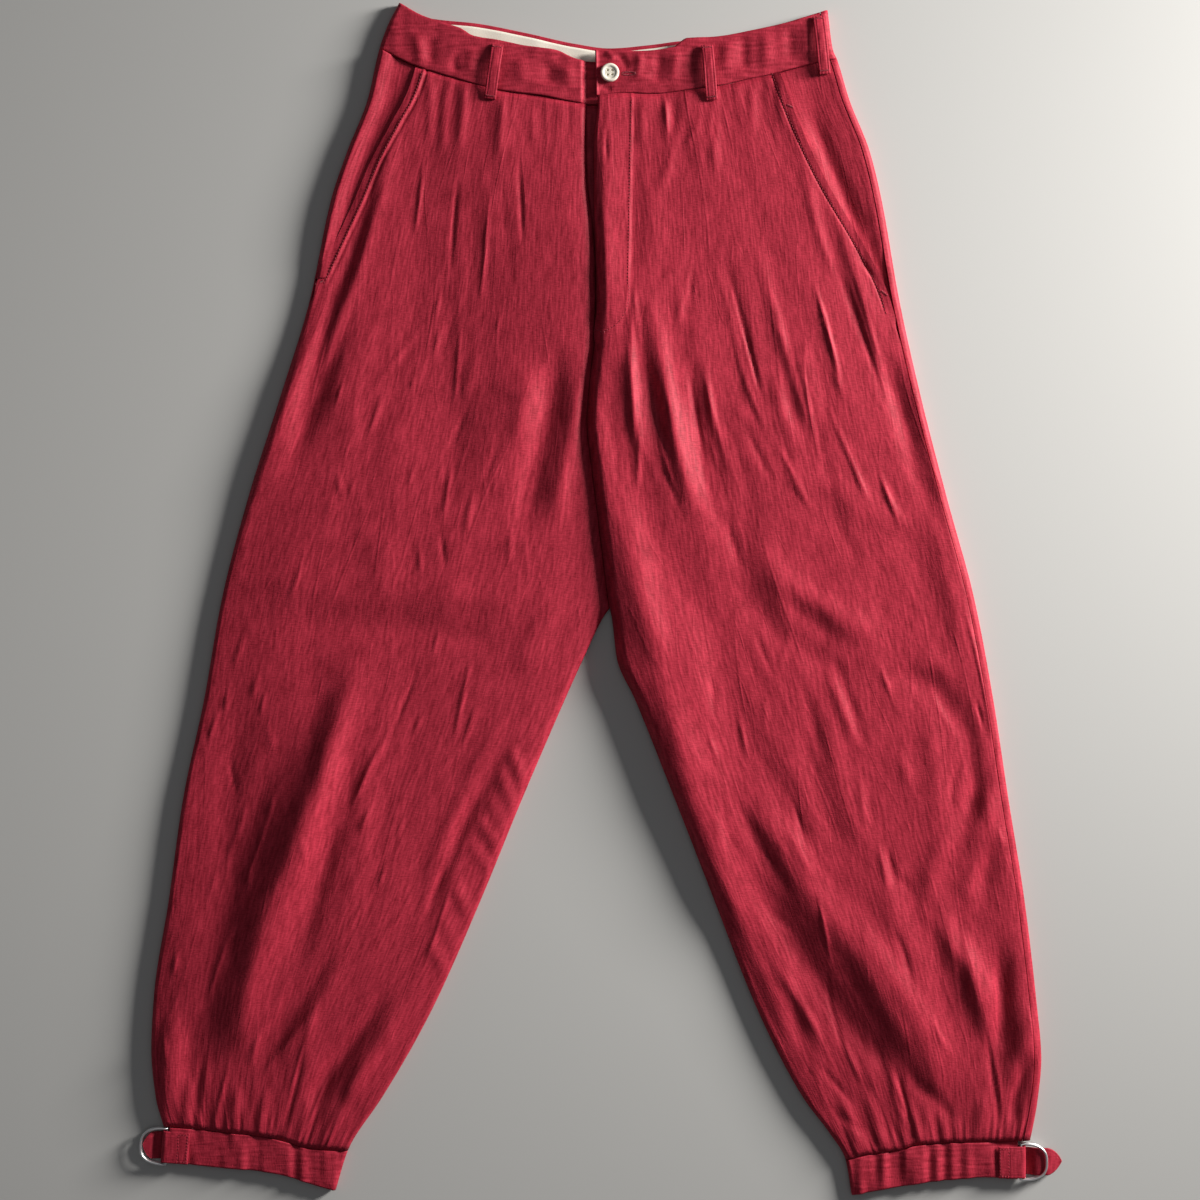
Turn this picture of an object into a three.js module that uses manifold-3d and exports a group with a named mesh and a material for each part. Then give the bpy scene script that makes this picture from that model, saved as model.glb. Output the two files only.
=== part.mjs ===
// Cropped trousers with buckled cuffs, laid out flat on their back and seen from the front.
// Millimetres. +X is the wearer's left, +Y the waist, +Z up from the surface that they lie on.
// The origin is under the middle of the whole outline, on that surface.
import * as THREE from 'three';
import { mergeVertices } from 'three/addons/utils/BufferGeometryUtils.js';
import Module from 'manifold-3d';

const wasm = await Module();
wasm.setup();

const CLOTH = 1.2;               // one layer of the crinkled cloth with its seam allowances
const BAND = 1.6;                // waistband and cuffs, faced cloth
const SEAM_GAP = 0.3;            // between pieces that are sewn together
const EDGE_HEIGHT = 4.5;         // middle of the rolled side edges above the surface
const EDGE_RADIUS = 4.5;
const SHOULDER = 9;              // front cloth just inside a rolled edge
const DOME_REACH = 36;           // how far in from the edges the front keeps rising
const CROTCH = { x: 7.4, y: -7.2 };
const POCKET_DROP = 2.3;         // pocket facing below the front's pocket edge

const LINING = { thickness: 1.0, height: 24, below: 3.5, clear: 0.3, from: -158, to: 176 };
const LOOP = { thickness: 1.6, width: 10, clear: 0.65, arch: 1.9 };
const BUTTON = { x: 7.6, y: 447.5, radius: 7.85, thickness: 3.0, clear: 0.35, hole: 0.95, pitch: 1.9 };
const CUFF = { height: 8, roundness: 4, thickness: 1.6 };
const RING = { height: 32.5, width: 24, wire: 2.2, squareness: 0.72 };
const TAB = { width: 27, length: 19.5, thickness: 1.2 };
const STRAP = { width: 23.4, thickness: 1.4 };

const COLOURS = { cloth: 0x9c2a3c, lining: 0xe9e2d2, button: 0xe6dcc4, metal: 0xc9c9cc };

// Curves of the outline, each a list of [y, x] from the waist down.
const OUTLINE = {
  right: {
    outer: [[508, -172], [488, -182], [468, -189], [425, -199], [382, -216], [340, -230], [255, -248],
      [170, -274], [85, -301], [0, -323], [-85, -338], [-170, -356], [-255, -368], [-340, -381],
      [-383, -383], [-425, -379], [-451, -372], [-480, -367]],
    opening: [[454, -157], [430, -165], [402, -180], [373, -195.5], [339, -210], [295, -230.4],
      [267, -243]],
    fly: [[508, -12], [402, -13], [357, -12], [326, -8], [295, -5.2], [255, -4.4], [217, -5.6]],
    inseam: [[-7.2, 7.4], [-17, 0.9], [-51, -15.3], [-85, -30.6], [-170, -67.2], [-255, -102],
      [-340, -139.4], [-383, -161.9], [-425, -187], [-468, -215], [-503, -226]],
  },
  left: {
    outer: [[501, 193], [468, 197.5], [460, 201], [425, 211.7], [382, 228.7], [340, 239], [255, 254],
      [170, 273], [85, 295], [0, 318], [-85, 334], [-170, 347], [-255, 360.5], [-340, 370.6],
      [-392, 375], [-425, 372], [-460, 365.5], [-495, 356]],
    opening: [[454, 150], [421, 161.5], [385, 176.8], [354, 192], [301, 222.7], [263, 242.3],
      [240, 250]],
    fly: [[501, -4.3], [423, -2.8], [386, -6], [340, -6], [295, -4.3], [255, -3.4], [223, -6],
      [217, -5.3]],
    inseam: [[-7.2, 7.4], [-17, 9.4], [-51, 13.6], [-85, 28.9], [-170, 62.9], [-255, 96], [-340, 129.2],
      [-383, 149.2], [-425, 172.6], [-455, 195], [-476, 208], [-507, 213.5]],
  },
};
// Centre front seam from the foot of the fly to the crotch.
const CENTRE_SEAM = [[217, -5.3], [187, -9.4], [151, -11.9], [110, -7.7], [76, -3.4], [34, 1.7], [0, 6],
  [-7.2, 7.4]];

// Seams and edges that cross a half, each a list of [x, y].
const CROSSING = {
  right: {
    top: [[-172, 508], [-153, 497], [-138.6, 491.7], [-120, 485.8], [-108, 479], [-87.6, 475.6],
      [-64, 470.8], [-38, 467.1], [-24.7, 461.1], [-16, 458.6], [6, 457]],
    waist: [[-189, 468.5], [-158, 453.5], [-134, 445.8], [-104, 437.3], [-83, 432.2], [-50, 428],
      [-16, 422], [6, 421]],
    cuff: [[-370, -448.4], [-347, -450], [-325, -452.6], [-293, -456], [-274, -459.4],
      [-246.5, -467], [-216, -469.2]],
    hem: [[-367, -478.6], [-327, -483.2], [-295, -485.8], [-270, -490], [-246.5, -497.3],
      [-227.8, -502.8]],
  },
  left: {
    top: [[-4, 467.1], [32, 466.2], [61, 469.6], [73, 477.3], [96, 478.5], [131, 484.5], [156, 490],
      [193, 501.5]],
    waist: [[-4, 428.4], [20, 430.5], [42.5, 429.7], [79, 433.9], [99, 436.5], [122, 441.6],
      [146, 446.7], [172, 453.5], [201.5, 460.3]],
    cuff: [[208, -477], [225, -472.6], [256, -467.9], [266, -464.5], [295, -462], [336, -461.1],
      [365, -460.3]],
    hem: [[213.5, -507], [250, -500.2], [290, -494.3], [331, -491.7], [354, -493.4]],
  },
};
const BACK_TOP = [[-172, 508], [-144.5, 495.5], [-106, 491.3], [-64, 483.2], [-21.6, 473.9], [7, 470.1],
  [42.5, 473], [67, 476.2], [96, 478], [156, 489.5], [193, 501.5]];
const BACK_WAIST = [[-189, 468.5], [-120, 447], [-60, 435], [7, 430], [80, 436], [146, 448],
  [201.5, 460.3]];

// Height of the front's middle, and of its inner edge with the width that the cloth takes to roll
// down to it, each a list of [y, value].
const CROWN = [[508, 9.3], [440, 9.8], [380, 12], [200, 13], [-300, 13], [-400, 12], [-450, 9.4],
  [-480, 8.6]];
const INNER_HEIGHT = {
  right: [[508, 5], [424, 4.8], [230, 4.7], [187, 6], [110, 5.2], [0, 4.7], [-20, 4.5], [-508, 4.5]],
  left: [[508, 10.2], [230, 10.4], [217, 9.2], [187, 7], [110, 5.4], [0, 4.7], [-20, 4.5],
    [-508, 4.5]],
};
const INNER_ROLL = {
  right: [[508, 5], [230, 6], [151, 12], [34, 14], [-7, 10], [-60, 6], [-508, 5]],
  left: [[508, 3], [230, 3], [151, 10], [34, 12], [-7, 9], [-60, 6], [-508, 5]],
};

// Folds of each half: where a crest or a trough starts and ends, how far its middle bows sideways,
// its half-width, and its height, which is negative for a trough.
// Columns: startX, startY, endX, endY, bow, halfWidth, height.
const FOLDS = {
  right: [
    // pocket side and outer edge
    [-181, 382, -283, 102, 2.7, 7, -3],
    [-168, 416, -256, 148, 4.8, 6, 1.8],
    [-246, 255, -317, 17, -4.1, 6, 1.2],
    // drag lines beside the crotch
    [-33, 222, -72, 44, 1.7, 11, -4.5],
    [-15, 193, -42, 55, 0, 8, 2.5],
    [-76, 221, -96, 76, 1.1, 15, 1.8],
    [-35, 8, -73, -68, 2, 12, 1.5],
    // thigh and knee
    [-154, 229, -200, 85, 7, 12, 1.2],
    [-111, 187, -145, 51, 2.1, 12, -1.2],
    [-303, 15, -45, 0, -1.2, 15, 1.4],
    [-298, -28, -60, -41, 10.2, 14, -1.6],
    // long fold down the shin and the hollows beside it
    [-193, -24, -288, -277, 2.7, 14, 4],
    [-269, -221, -317, -391, -5.3, 18, 4.5],
    [-252, -77, -341, -340, -5, 13, -2.2],
    [-322, -306, -331, -417, -8.8, 10, -2],
    [-218, -170, -269, -328, -0.5, 11, -1.5],
    [-361, -340, -365, -447, -3, 9, 2.2],
    [-218, -285, -294, -408, -1.1, 6, -1.8],
    [-218, -311, -281, -404, 0.8, 6, 1.6],
    [-176, -325, -252, -436, 1.8, 7, -2.5],
    [-164, -336, -230, -447, 0, 7, 2.2],
    // puckers along the inseam
    [-73, -85, -154, -255, -5.3, 6, 1.2],
    [-76, -121, -161, -319, -8.4, 5, -1.4],
    [-79, -121, -63, -162, -0.4, 4.5, 1.8],
    [-88, -143, -71, -183, 0.2, 4.5, 1.8],
    [-97, -166, -79, -203, -0.6, 4.5, 1.8],
    [-105, -183, -84, -217, 0, 4.5, 1.8],
    [-113, -206, -89, -234, -0.3, 4.5, 1.8],
    [-127, -238, -109, -274, -0.4, 4.5, 1.8],
    [-137, -268, -120, -302, 0, 4.5, 1.8],
    [-147, -289, -130, -319, 0.2, 4.5, 1.6],
    // gathers and darts into the cuff
    [-353, -459, -349, -400, 0.8, 5, 1.6],
    [-314, -464, -307, -408, 0.6, 5, 1.8],
    [-293, -465, -283, -413, 0.2, 5, 1.5],
    [-260, -472, -246, -417, -0.1, 5, 1.5],
    [-235, -476, -218, -425, 0.8, 5, 1.3],
    [-274, -468, -251, -374, -0.6, 3.5, -1.4],
    [-348, -458, -337, -379, 0.4, 3.5, -1.4],
    // gathers below the waistband
    [-144, 453, -146, 382, 0.4, 4, 1.1],
    [-131, 448, -136, 374, -0.1, 4, 1.1],
    [-115, 443, -121, 382, 0.4, 4, 1.1],
    [-83, 436, -88, 369, 0.4, 4, 1.1],
    [-60, 433, -58, 382, 0.4, 4, 1],
  ],
  left: [
    // fly and the drag lines beside the crotch
    [3, 425, 2, 246, 1.3, 9, 1.4],
    [33, 408, 30, 263, 0, 9, -0.9],
    [38, 276, 91, 38, -5.6, 9, 3],
    [18, 233, 42, 102, -2.2, 7, 2],
    [37, 212, 57, 110, -1.3, 6, -1.5],
    [74, 221, 103, 68, -2.6, 9, -1.8],
    // full inner leg and the hollow beside it
    [14, 110, 57, -85, -1.7, 14, 3.2],
    [46, -43, 118, -277, -5.1, 12, 2.4],
    [94, 34, 125, -170, -4.3, 17, -1.8],
    // knee
    [120, 51, 227, -45, -5.2, 13, 2.2],
    [101, 21, 220, -77, -5.3, 12, -1.5],
    [144, 114, 280, 51, 2.2, 13, 1.2],
    // hip, pocket facing and side seam
    [167, 229, 178, 136, 0, 9, 1.5],
    [235, 229, 286, 51, -0.7, 9, -2.6],
    [258, 229, 315, -9, -2.4, 5, 1.2],
    [169, 429, 224, 297, 2.4, 7, -2.6],
    [174, 369, 201, 267, -4.2, 5, 1.4],
    [196, 335, 237, 225, -1.4, 5, 1.4],
    [132, 306, 161, 195, -2.7, 6, 1.3],
    [103, 301, 128, 195, -0.2, 6, -1.2],
    // long fold down the shin and the deep hollow under it
    [125, -153, 230, -317, -9, 15, 4.2],
    [203, -277, 307, -430, 2.8, 17, 4.6],
    [118, -213, 258, -419, -7.1, 13, -3.2],
    // outer calf
    [312, -183, 298, -306, -27.3, 9, 2.6],
    [288, -277, 331, -391, 8.7, 9, 2.6],
    [341, -285, 339, -404, 2.6, 8, -2.8],
    [365, -340, 346, -413, 7.9, 6, 2],
    [368, -383, 353, -455, -6.3, 6, -2.8],
    [190, -77, 230, -223, -6.9, 9, 1.5],
    [169, -77, 212, -230, -8.1, 8, -1.3],
    [273, -85, 286, -204, 3.4, 9, 1.5],
    [305, -77, 318, -200, 4, 8, -1.8],
    // inner calf
    [88, -209, 169, -383, 1, 8, 2],
    [114, -255, 188, -408, -0.8, 7, -1.6],
    [248, -393, 288, -468, -11, 5, 1.8],
    [258, -404, 305, -447, 1.4, 5, -1.8],
    // gathers and darts into the cuff
    [224, -481, 203, -417, -0.2, 5, 1.6],
    [243, -478, 225, -413, -0.1, 5, 1.5],
    [280, -471, 275, -430, -0.4, 5, 1.3],
    [318, -471, 326, -417, -0.4, 5, 1.5],
    [356, -470, 358, -421, 0, 5, 1.3],
    [268, -471, 249, -391, -0.2, 3.5, -1.4],
    [341, -459, 326, -362, -1, 3.5, -1.4],
    // gathers below the waistband
    [54, 438, 57, 382, 0.1, 4, 1],
    [71, 425, 43, 331, 2.4, 4, 1],
    [100, 443, 98, 352, -3, 4, 1.1],
    [127, 448, 130, 397, 0.1, 4, 1],
    [150, 453, 156, 397, -0.4, 4, 0.9],
    [33, 435, 35, 382, 0, 4, 0.9],
  ],
};

// Belt loops: the top and the bottom of each loop's centre line, and its half.
const LOOPS = [
  { name: 'belt_loop_front_right', side: 'right', top: [-87.6, 471.3], bottom: [-94.4, 424.6] },
  { name: 'belt_loop_front_left', side: 'left', top: [90, 470.9], bottom: [94.1, 423.7] },
  { name: 'belt_loop_side_left', side: 'left', top: [184.5, 495.5], bottom: [190, 446] },
];

// Buckles: the place of the ring bars, the turn of the tab, and the reach of the strap's tip past
// the bars. The cuff's front end stops short of the bars and its back end a little shorter still.
const BUCKLES = {
  right: { bar: -369.8, y: -465.5, turn: 176, tip: 20.5 },
  left: { bar: 357.4, y: -478.6, turn: 0, tip: 35.3 },
};
const CUFF_END = { front: 2.6, back: 5 };

const clamp = (value, low, high) => Math.min(high, Math.max(low, value));
const mix = (a, b, t) => a + (b - a) * t;
const smooth = (t) => { const u = clamp(t, 0, 1); return u * u * (3 - 2 * u); };
const rollUp = (t) => { const u = 1 - clamp(t, 0, 1); return Math.sqrt(Math.max(0, 1 - u * u)); };

// A smooth curve through a list of pairs, level past its ends.
function curve(rows, at) {
  const up = rows[rows.length - 1][0] > rows[0][0] ? 1 : -1;
  if (up * (at - rows[0][0]) <= 0) return rows[0][1];
  const last = rows.length - 1;
  if (up * (at - rows[last][0]) >= 0) return rows[last][1];
  let k = 0;
  while (up * (at - rows[k + 1][0]) > 0) k += 1;
  const slope = (i) => (rows[i + 1][1] - rows[i][1]) / (rows[i + 1][0] - rows[i][0]);
  const tangent = (i) => {
    if (i === 0) return slope(0);
    if (i === last) return slope(last - 1);
    const before = slope(i - 1);
    const after = slope(i);
    return before * after <= 0 ? 0 : (2 * before * after) / (before + after);
  };
  const span = rows[k + 1][0] - rows[k][0];
  const t = (at - rows[k][0]) / span;
  const h = t * t * (3 - 2 * t);
  return mix(rows[k][1], rows[k + 1][1], h)
    + span * (t * (1 - t) * (1 - t) * tangent(k) - t * t * (1 - t) * tangent(k + 1));
}

const SIGN = { right: -1, left: 1 };
const SIDE_SEAM = { right: 0, left: 7 };     // how far over the top of the edge the side seam lies
const SIDE_GAP = 0.3;                        // half the gap of that seam

const outerEdge = (side, y) => curve(OUTLINE[side].outer, y);
const sideSeam = (side, y) => outerEdge(side, y)
  - SIGN[side] * (SIDE_SEAM[side] ? SIDE_SEAM[side] + SIDE_GAP : 0);
function innerEdge(side, y) {
  if (y < CROTCH.y) return curve(OUTLINE[side].inseam, y);
  return curve(y < CENTRE_SEAM[0][0] ? CENTRE_SEAM : OUTLINE[side].fly, y);
}
// Outer limit of the front panel: the slanted pocket opening, then the side seam.
function frontLimit(side, y) {
  const opening = OUTLINE[side].opening;
  const foot = opening[opening.length - 1][0];
  const blend = smooth((y - foot + 22) / 22);
  return mix(sideSeam(side, y), curve(opening, y), blend);
}

function foldHeight(side, x, y) {
  let total = 0;
  for (const [startX, startY, endX, endY, bow, halfWidth, height] of FOLDS[side]) {
    const alongX = endX - startX;
    const alongY = endY - startY;
    const length = Math.hypot(alongX, alongY);
    const t = ((x - startX) * alongX + (y - startY) * alongY) / (length * length);
    if (t <= 0 || t >= 1) continue;
    const across = (alongX * (y - startY) - alongY * (x - startX)) / length - 4 * bow * t * (1 - t);
    const taper = smooth(t / 0.3) * smooth((1 - t) / 0.3);
    total += height * taper * Math.exp(-((across / halfWidth) ** 2));
  }
  return total;
}

// Height of the garment's front above the surface.
function frontHeight(side, x, y) {
  const fromOuter = Math.max(0, SIGN[side] * (outerEdge(side, y) - x));
  const fromInner = Math.max(0, SIGN[side] * (x - innerEdge(side, y)));
  const dome = (1 - Math.exp(-fromOuter / DOME_REACH)) * (1 - Math.exp(-fromInner / DOME_REACH));
  const inCloth = smooth((curve(CROSSING[side].waist, x) - y) / 14)
    * mix(0.35, 1, smooth((y - curve(CROSSING[side].cuff, x)) / 16));
  const clearOfEdges = smooth(fromOuter / 9) * smooth(fromInner / 9);
  let z = SHOULDER + (curve(CROWN, y) - SHOULDER) * dome;
  z += foldHeight(side, x, y) * inCloth * clearOfEdges;
  z -= (z - EDGE_HEIGHT) * (1 - rollUp(fromOuter / EDGE_RADIUS));
  z -= (z - curve(INNER_HEIGHT[side], y)) * (1 - rollUp(fromInner / curve(INNER_ROLL[side], y)));
  return z;
}

// A place inside a four-sided patch, solved from its inner, outer, top and bottom limits.
function place(bounds, columnX, down) {
  let y = 0;
  let x = 0;
  for (let pass = 0; pass < 16; pass += 1) {
    x = columnX(y);
    y = mix(bounds.top(x), bounds.bottom(x), down);
  }
  return [x, y];
}

const ROLL_STEPS = 4;
// Columns of a panel that rolls over at its inner and its outer edge: dense there, even between.
function columnsAcross(side, inner, outer, innerRoll, middle) {
  const columns = [];
  const inset = (k) => 1 - Math.cos((k / ROLL_STEPS) * Math.PI / 2);
  for (let k = 0; k < ROLL_STEPS; k += 1) {
    columns.push((y) => inner(y) + SIGN[side] * innerRoll(y) * inset(k));
  }
  for (let k = 0; k <= middle; k += 1) {
    columns.push((y) => mix(inner(y) + SIGN[side] * innerRoll(y),
      outer(y) - SIGN[side] * EDGE_RADIUS, k / middle));
  }
  for (let k = ROLL_STEPS - 1; k >= 0; k -= 1) {
    columns.push((y) => outer(y) - SIGN[side] * EDGE_RADIUS * inset(k));
  }
  return columns;
}

// A closed wall from a grid of outer points: the inner face lies a thickness behind it.
// The end of a row that turns steeply over is cut square to the surface.
function wall(grid, thickness, faceUp = true) {
  const rows = grid.length;
  const cols = grid[0].length;
  const at = (r, c) => grid[clamp(r, 0, rows - 1)][clamp(c, 0, cols - 1)];
  const middle = [Math.floor(rows / 2), Math.floor(cols / 2)];
  const tangentAcross = (r, c) => {
    const step = at(r, c + 1).clone().sub(at(r, c - 1));
    const steep = Math.abs(step.z) > Math.hypot(step.x, step.y);
    if ((c === 0 || c === cols - 1) && steep) return new THREE.Vector3(0, 0, Math.sign(step.z));
    return step;
  };
  const normalAt = (r, c) => tangentAcross(r, c)
    .cross(at(r + 1, c).clone().sub(at(r - 1, c))).normalize();
  const turned = (normalAt(...middle).z > 0) === faceUp ? 1 : -1;
  const positions = [];
  for (let r = 0; r < rows; r += 1) {
    for (let c = 0; c < cols; c += 1) positions.push(...at(r, c).toArray());
  }
  for (let r = 0; r < rows; r += 1) {
    for (let c = 0; c < cols; c += 1) {
      positions.push(...at(r, c).clone().addScaledVector(normalAt(r, c), -turned * thickness).toArray());
    }
  }
  const index = [];
  const inside = rows * cols;
  const quad = (a, b, c, d) => {
    if (turned > 0) index.push(a, b, c, a, c, d);
    else index.push(a, c, b, a, d, c);
  };
  for (let r = 0; r < rows - 1; r += 1) {
    for (let c = 0; c < cols - 1; c += 1) {
      const a = r * cols + c;
      quad(a, a + 1, a + cols + 1, a + cols);
      quad(inside + a, inside + a + cols, inside + a + cols + 1, inside + a + 1);
    }
  }
  const rim = [];
  for (let c = 0; c < cols - 1; c += 1) rim.push([c + 1, c]);
  for (let c = 0; c < cols - 1; c += 1) rim.push([(rows - 1) * cols + c, (rows - 1) * cols + c + 1]);
  for (let r = 0; r < rows - 1; r += 1) rim.push([r * cols, (r + 1) * cols]);
  for (let r = 0; r < rows - 1; r += 1) rim.push([(r + 2) * cols - 1, (r + 1) * cols - 1]);
  for (const [a, b] of rim) quad(a, b, inside + b, inside + a);
  const geometry = new THREE.BufferGeometry();
  geometry.setAttribute('position', new THREE.Float32BufferAttribute(positions, 3));
  geometry.setIndex(index);
  geometry.computeVertexNormals();
  return geometry;
}

function finish(name, geometry, colour, roughness = 0.85, metalness = 0) {
  const mesh = new THREE.Mesh(geometry, new THREE.MeshStandardMaterial({ color: colour, roughness, metalness }));
  mesh.name = name;
  return mesh;
}

const half = SEAM_GAP / 2;
const UNDER_GAP = 0.45;          // half the gap of the seams on the under side

// Front of one leg, from the waist seam to the cuff and from the centre front to the side.
function frontLeg(side) {
  const waist = (x) => curve(CROSSING[side].waist, x);
  const cuff = (x) => curve(CROSSING[side].cuff, x);
  const bounds = { top: (x) => waist(x) - half, bottom: (x) => cuff(x) + half };
  const columns = columnsAcross(side,
    (y) => innerEdge(side, y) + SIGN[side] * half * (y > CROTCH.y ? 1 : 0),
    (y) => frontLimit(side, y),
    (y) => curve(INNER_ROLL[side], y), 26);
  const atCrotch = (waist(CROTCH.x) - CROTCH.y) / (waist(CROTCH.x) - cuff(CROTCH.x));
  const levels = [];
  for (let k = 0; k < 12; k += 1) levels.push(atCrotch * k / 12);
  for (let k = 0; k <= 14; k += 1) levels.push(mix(atCrotch, 1, k / 14));
  const grid = levels.map((down) => columns.map((columnX) => {
    const [x, y] = place(bounds, columnX, down);
    return new THREE.Vector3(x, y, frontHeight(side, x, y) + half * (1 - rollUp(rollFraction(side, x, y))));
  }));
  return wall(grid, CLOTH);
}

// How far into a rolled edge a point lies, from 0 at the very edge to 1 where the roll ends.
function rollFraction(side, x, y) {
  const fromOuter = SIGN[side] * (outerEdge(side, y) - x);
  const fromInner = y < CROTCH.y ? SIGN[side] * (x - innerEdge(side, y)) : EDGE_RADIUS;
  return Math.min(fromOuter, fromInner) / EDGE_RADIUS;
}

// Under side of the garment: flat on the surface, rolled up at its outer edge and, below the
// crotch, at the inseam. Past the outer edge it runs on over the top as far as the side seam.
function underPoint(side, x, y, over) {
  if (over > 0) {
    const topX = outerEdge(side, y) - SIGN[side] * over;
    return new THREE.Vector3(topX, y, frontHeight(side, topX, y));
  }
  const fromOuter = SIGN[side] * (outerEdge(side, y) - x);
  const fromInner = SIGN[side] * (x - backInner(side, y));
  const innerLift = EDGE_HEIGHT * smooth((CROTCH.y + 30 - y) / 30);
  let z = EDGE_HEIGHT * (1 - rollUp(fromOuter / EDGE_RADIUS));
  z += innerLift * (1 - rollUp(fromInner / curve(INNER_ROLL[side], Math.min(y, -60))));
  if (SIDE_SEAM[side] === 0) z -= half * (1 - rollUp(fromOuter / EDGE_RADIUS));
  if (y < CROTCH.y) z -= half * (1 - rollUp(fromInner / EDGE_RADIUS));
  return new THREE.Vector3(x, y, Math.max(0, z));
}

function backInner(side, y) {
  return y > CROTCH.y ? CROTCH.x : curve(OUTLINE[side].inseam, y);
}

// Rows of a piece of the under side, with the columns that run on over the top of the edge.
function underGrid(side, bounds, inner, levels, middle) {
  const flatRoll = (y) => curve(INNER_ROLL[side], Math.min(y, -60));
  const columns = columnsAcross(side, inner, (y) => outerEdge(side, y), flatRoll, middle)
    .map((columnX) => ({ columnX, over: 0 }));
  const seam = SIDE_SEAM[side] - SIDE_GAP;
  for (const over of seam > 0 ? [0.35, 1.3, 2.8, 4.5, seam] : []) {
    columns.push({ columnX: (y) => outerEdge(side, y) - SIGN[side] * over, over });
  }
  return levels.map((down) => columns.map(({ columnX, over }) => {
    const [x, y] = place(bounds, columnX, down);
    return underPoint(side, x, y, over);
  }));
}

function backLeg(side) {
  const cuff = (x) => curve(CROSSING[side].cuff, x);
  const bounds = { top: (x) => curve(BACK_WAIST, x) - UNDER_GAP, bottom: (x) => cuff(x) + half };
  const inner = (y) => backInner(side, y) + SIGN[side] * half;
  const top = curve(BACK_WAIST, CROTCH.x);
  const atCrotch = (top - CROTCH.y) / (top - cuff(CROTCH.x));
  const levels = [0.67 * atCrotch, 0.84 * atCrotch];
  for (let k = 9; k >= 0; k -= 1) levels.unshift(0.51 * atCrotch * k / 9);
  for (let k = 0; k <= 14; k += 1) levels.push(mix(atCrotch, 1, k / 14));
  return wall(underGrid(side, bounds, inner, levels, 7), CLOTH, false);
}

// Hip piece behind the slanted pocket opening. It lies lower than the opening's edge, comes up
// level at the side seam, and stays low on the left where it runs out under the opening's foot.
function pocketFacing(side) {
  const opening = OUTLINE[side].opening;
  const foot = opening[opening.length - 1][0] + 6;
  const tuck = 9;
  const bounds = { top: (x) => curve(CROSSING[side].waist, x) - half, bottom: () => foot };
  const outer = (y) => sideSeam(side, y);
  const grid = [];
  for (let r = 0; r <= 12; r += 1) {
    const row = [];
    for (let k = 0; k <= 9; k += 1) {
      const t = Math.sin((k / 9) * Math.PI / 2);
      const columnX = (y) => mix(curve(opening, y) - SIGN[side] * tuck, outer(y), t);
      const [x, y] = place(bounds, columnX, r / 12);
      const fromSeam = SIGN[side] * (outer(y) - x);
      const visible = SIGN[side] * (outer(y) - curve(opening, y));
      const level = 1 - smooth(fromSeam / (SIDE_SEAM[side] ? Math.max(6, 0.75 * visible) : 0.75 * visible));
      const reached = SIDE_SEAM[side] ? smooth((visible - 4) / 14) : 1;
      const drop = POCKET_DROP * (1 - level * reached);
      row.push(new THREE.Vector3(x, y,
        frontHeight(side, x, y) - drop + half * (1 - rollUp(rollFraction(side, x, y)))));
    }
    grid.push(row);
  }
  return wall(grid, CLOTH);
}

// Extension under the fly, which fills the gap beside the overlapping left front.
function flyShield() {
  const grid = [];
  const [from, to] = [420.5, 240];
  for (let r = 0; r <= 8; r += 1) {
    const y = mix(from, to, r / 8);
    const left = innerEdge('right', y) + half;
    grid.push([0, 0.5, 1].map((t) => new THREE.Vector3(mix(left, 6, t), y, curve(INNER_HEIGHT.right, y))));
  }
  return wall(grid, CLOTH);
}

function waistbandFront(side) {
  const bounds = {
    top: (x) => curve(CROSSING[side].top, x),
    bottom: (x) => curve(CROSSING[side].waist, x) + half,
  };
  const inner = (y) => innerEdge(side, y);
  const columns = columnsAcross(side, inner, (y) => sideSeam(side, y),
    (y) => curve(INNER_ROLL[side], y), 18);
  if (side === 'right') columns.unshift(() => 6, () => -3);
  const grid = [0, 0.5, 1].map((down) => columns.map((columnX) => {
    const [x, y] = place(bounds, columnX, down);
    return new THREE.Vector3(x, y, frontHeight(side, x, y) + half * (1 - rollUp(rollFraction(side, x, y))));
  }));
  return wall(grid, BAND);
}

function waistbandBack() {
  const bounds = { top: (x) => curve(BACK_TOP, x), bottom: (x) => curve(BACK_WAIST, x) + half };
  const levels = [0, 0.5, 1];
  const right = underGrid('right', bounds, () => CROTCH.x - 8, levels, 8);
  const left = underGrid('left', bounds, () => CROTCH.x + 8, levels, 8);
  return wall(levels.map((down, r) => [...right[r]].reverse().concat(left[r])), BAND, false);
}

// Cream facing of the back waistband, seen in the waist's mouth.
function waistbandLining() {
  const grid = [];
  for (let r = 0; r <= 1; r += 1) {
    const row = [];
    for (let k = 0; k <= 24; k += 1) {
      const x = mix(LINING.from, LINING.to, k / 24);
      const y = curve(BACK_TOP, x) - LINING.below - r * LINING.height;
      row.push(new THREE.Vector3(x, y, BAND + LINING.clear + LINING.thickness));
    }
    grid.push(row);
  }
  return wall(grid, LINING.thickness);
}

function beltLoop({ side, top, bottom }) {
  const grid = [];
  const along = new THREE.Vector2(bottom[0] - top[0], bottom[1] - top[1]);
  const across = new THREE.Vector2(-along.y, along.x).normalize();
  const steps = 10;
  for (let r = 0; r <= steps; r += 1) {
    const t = r / steps;
    const lift = LOOP.clear + LOOP.arch * Math.sin(Math.PI * t) ** 0.8;
    const rowPoints = [-0.5, 0, 0.5].map((s) => {
      const x = top[0] + along.x * t + across.x * s * LOOP.width;
      const y = top[1] + along.y * t + across.y * s * LOOP.width;
      return new THREE.Vector3(x, y, frontHeight(side, x, y) + lift + LOOP.thickness);
    });
    grid.push(rowPoints);
  }
  return wall(grid, LOOP.thickness);
}

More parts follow.
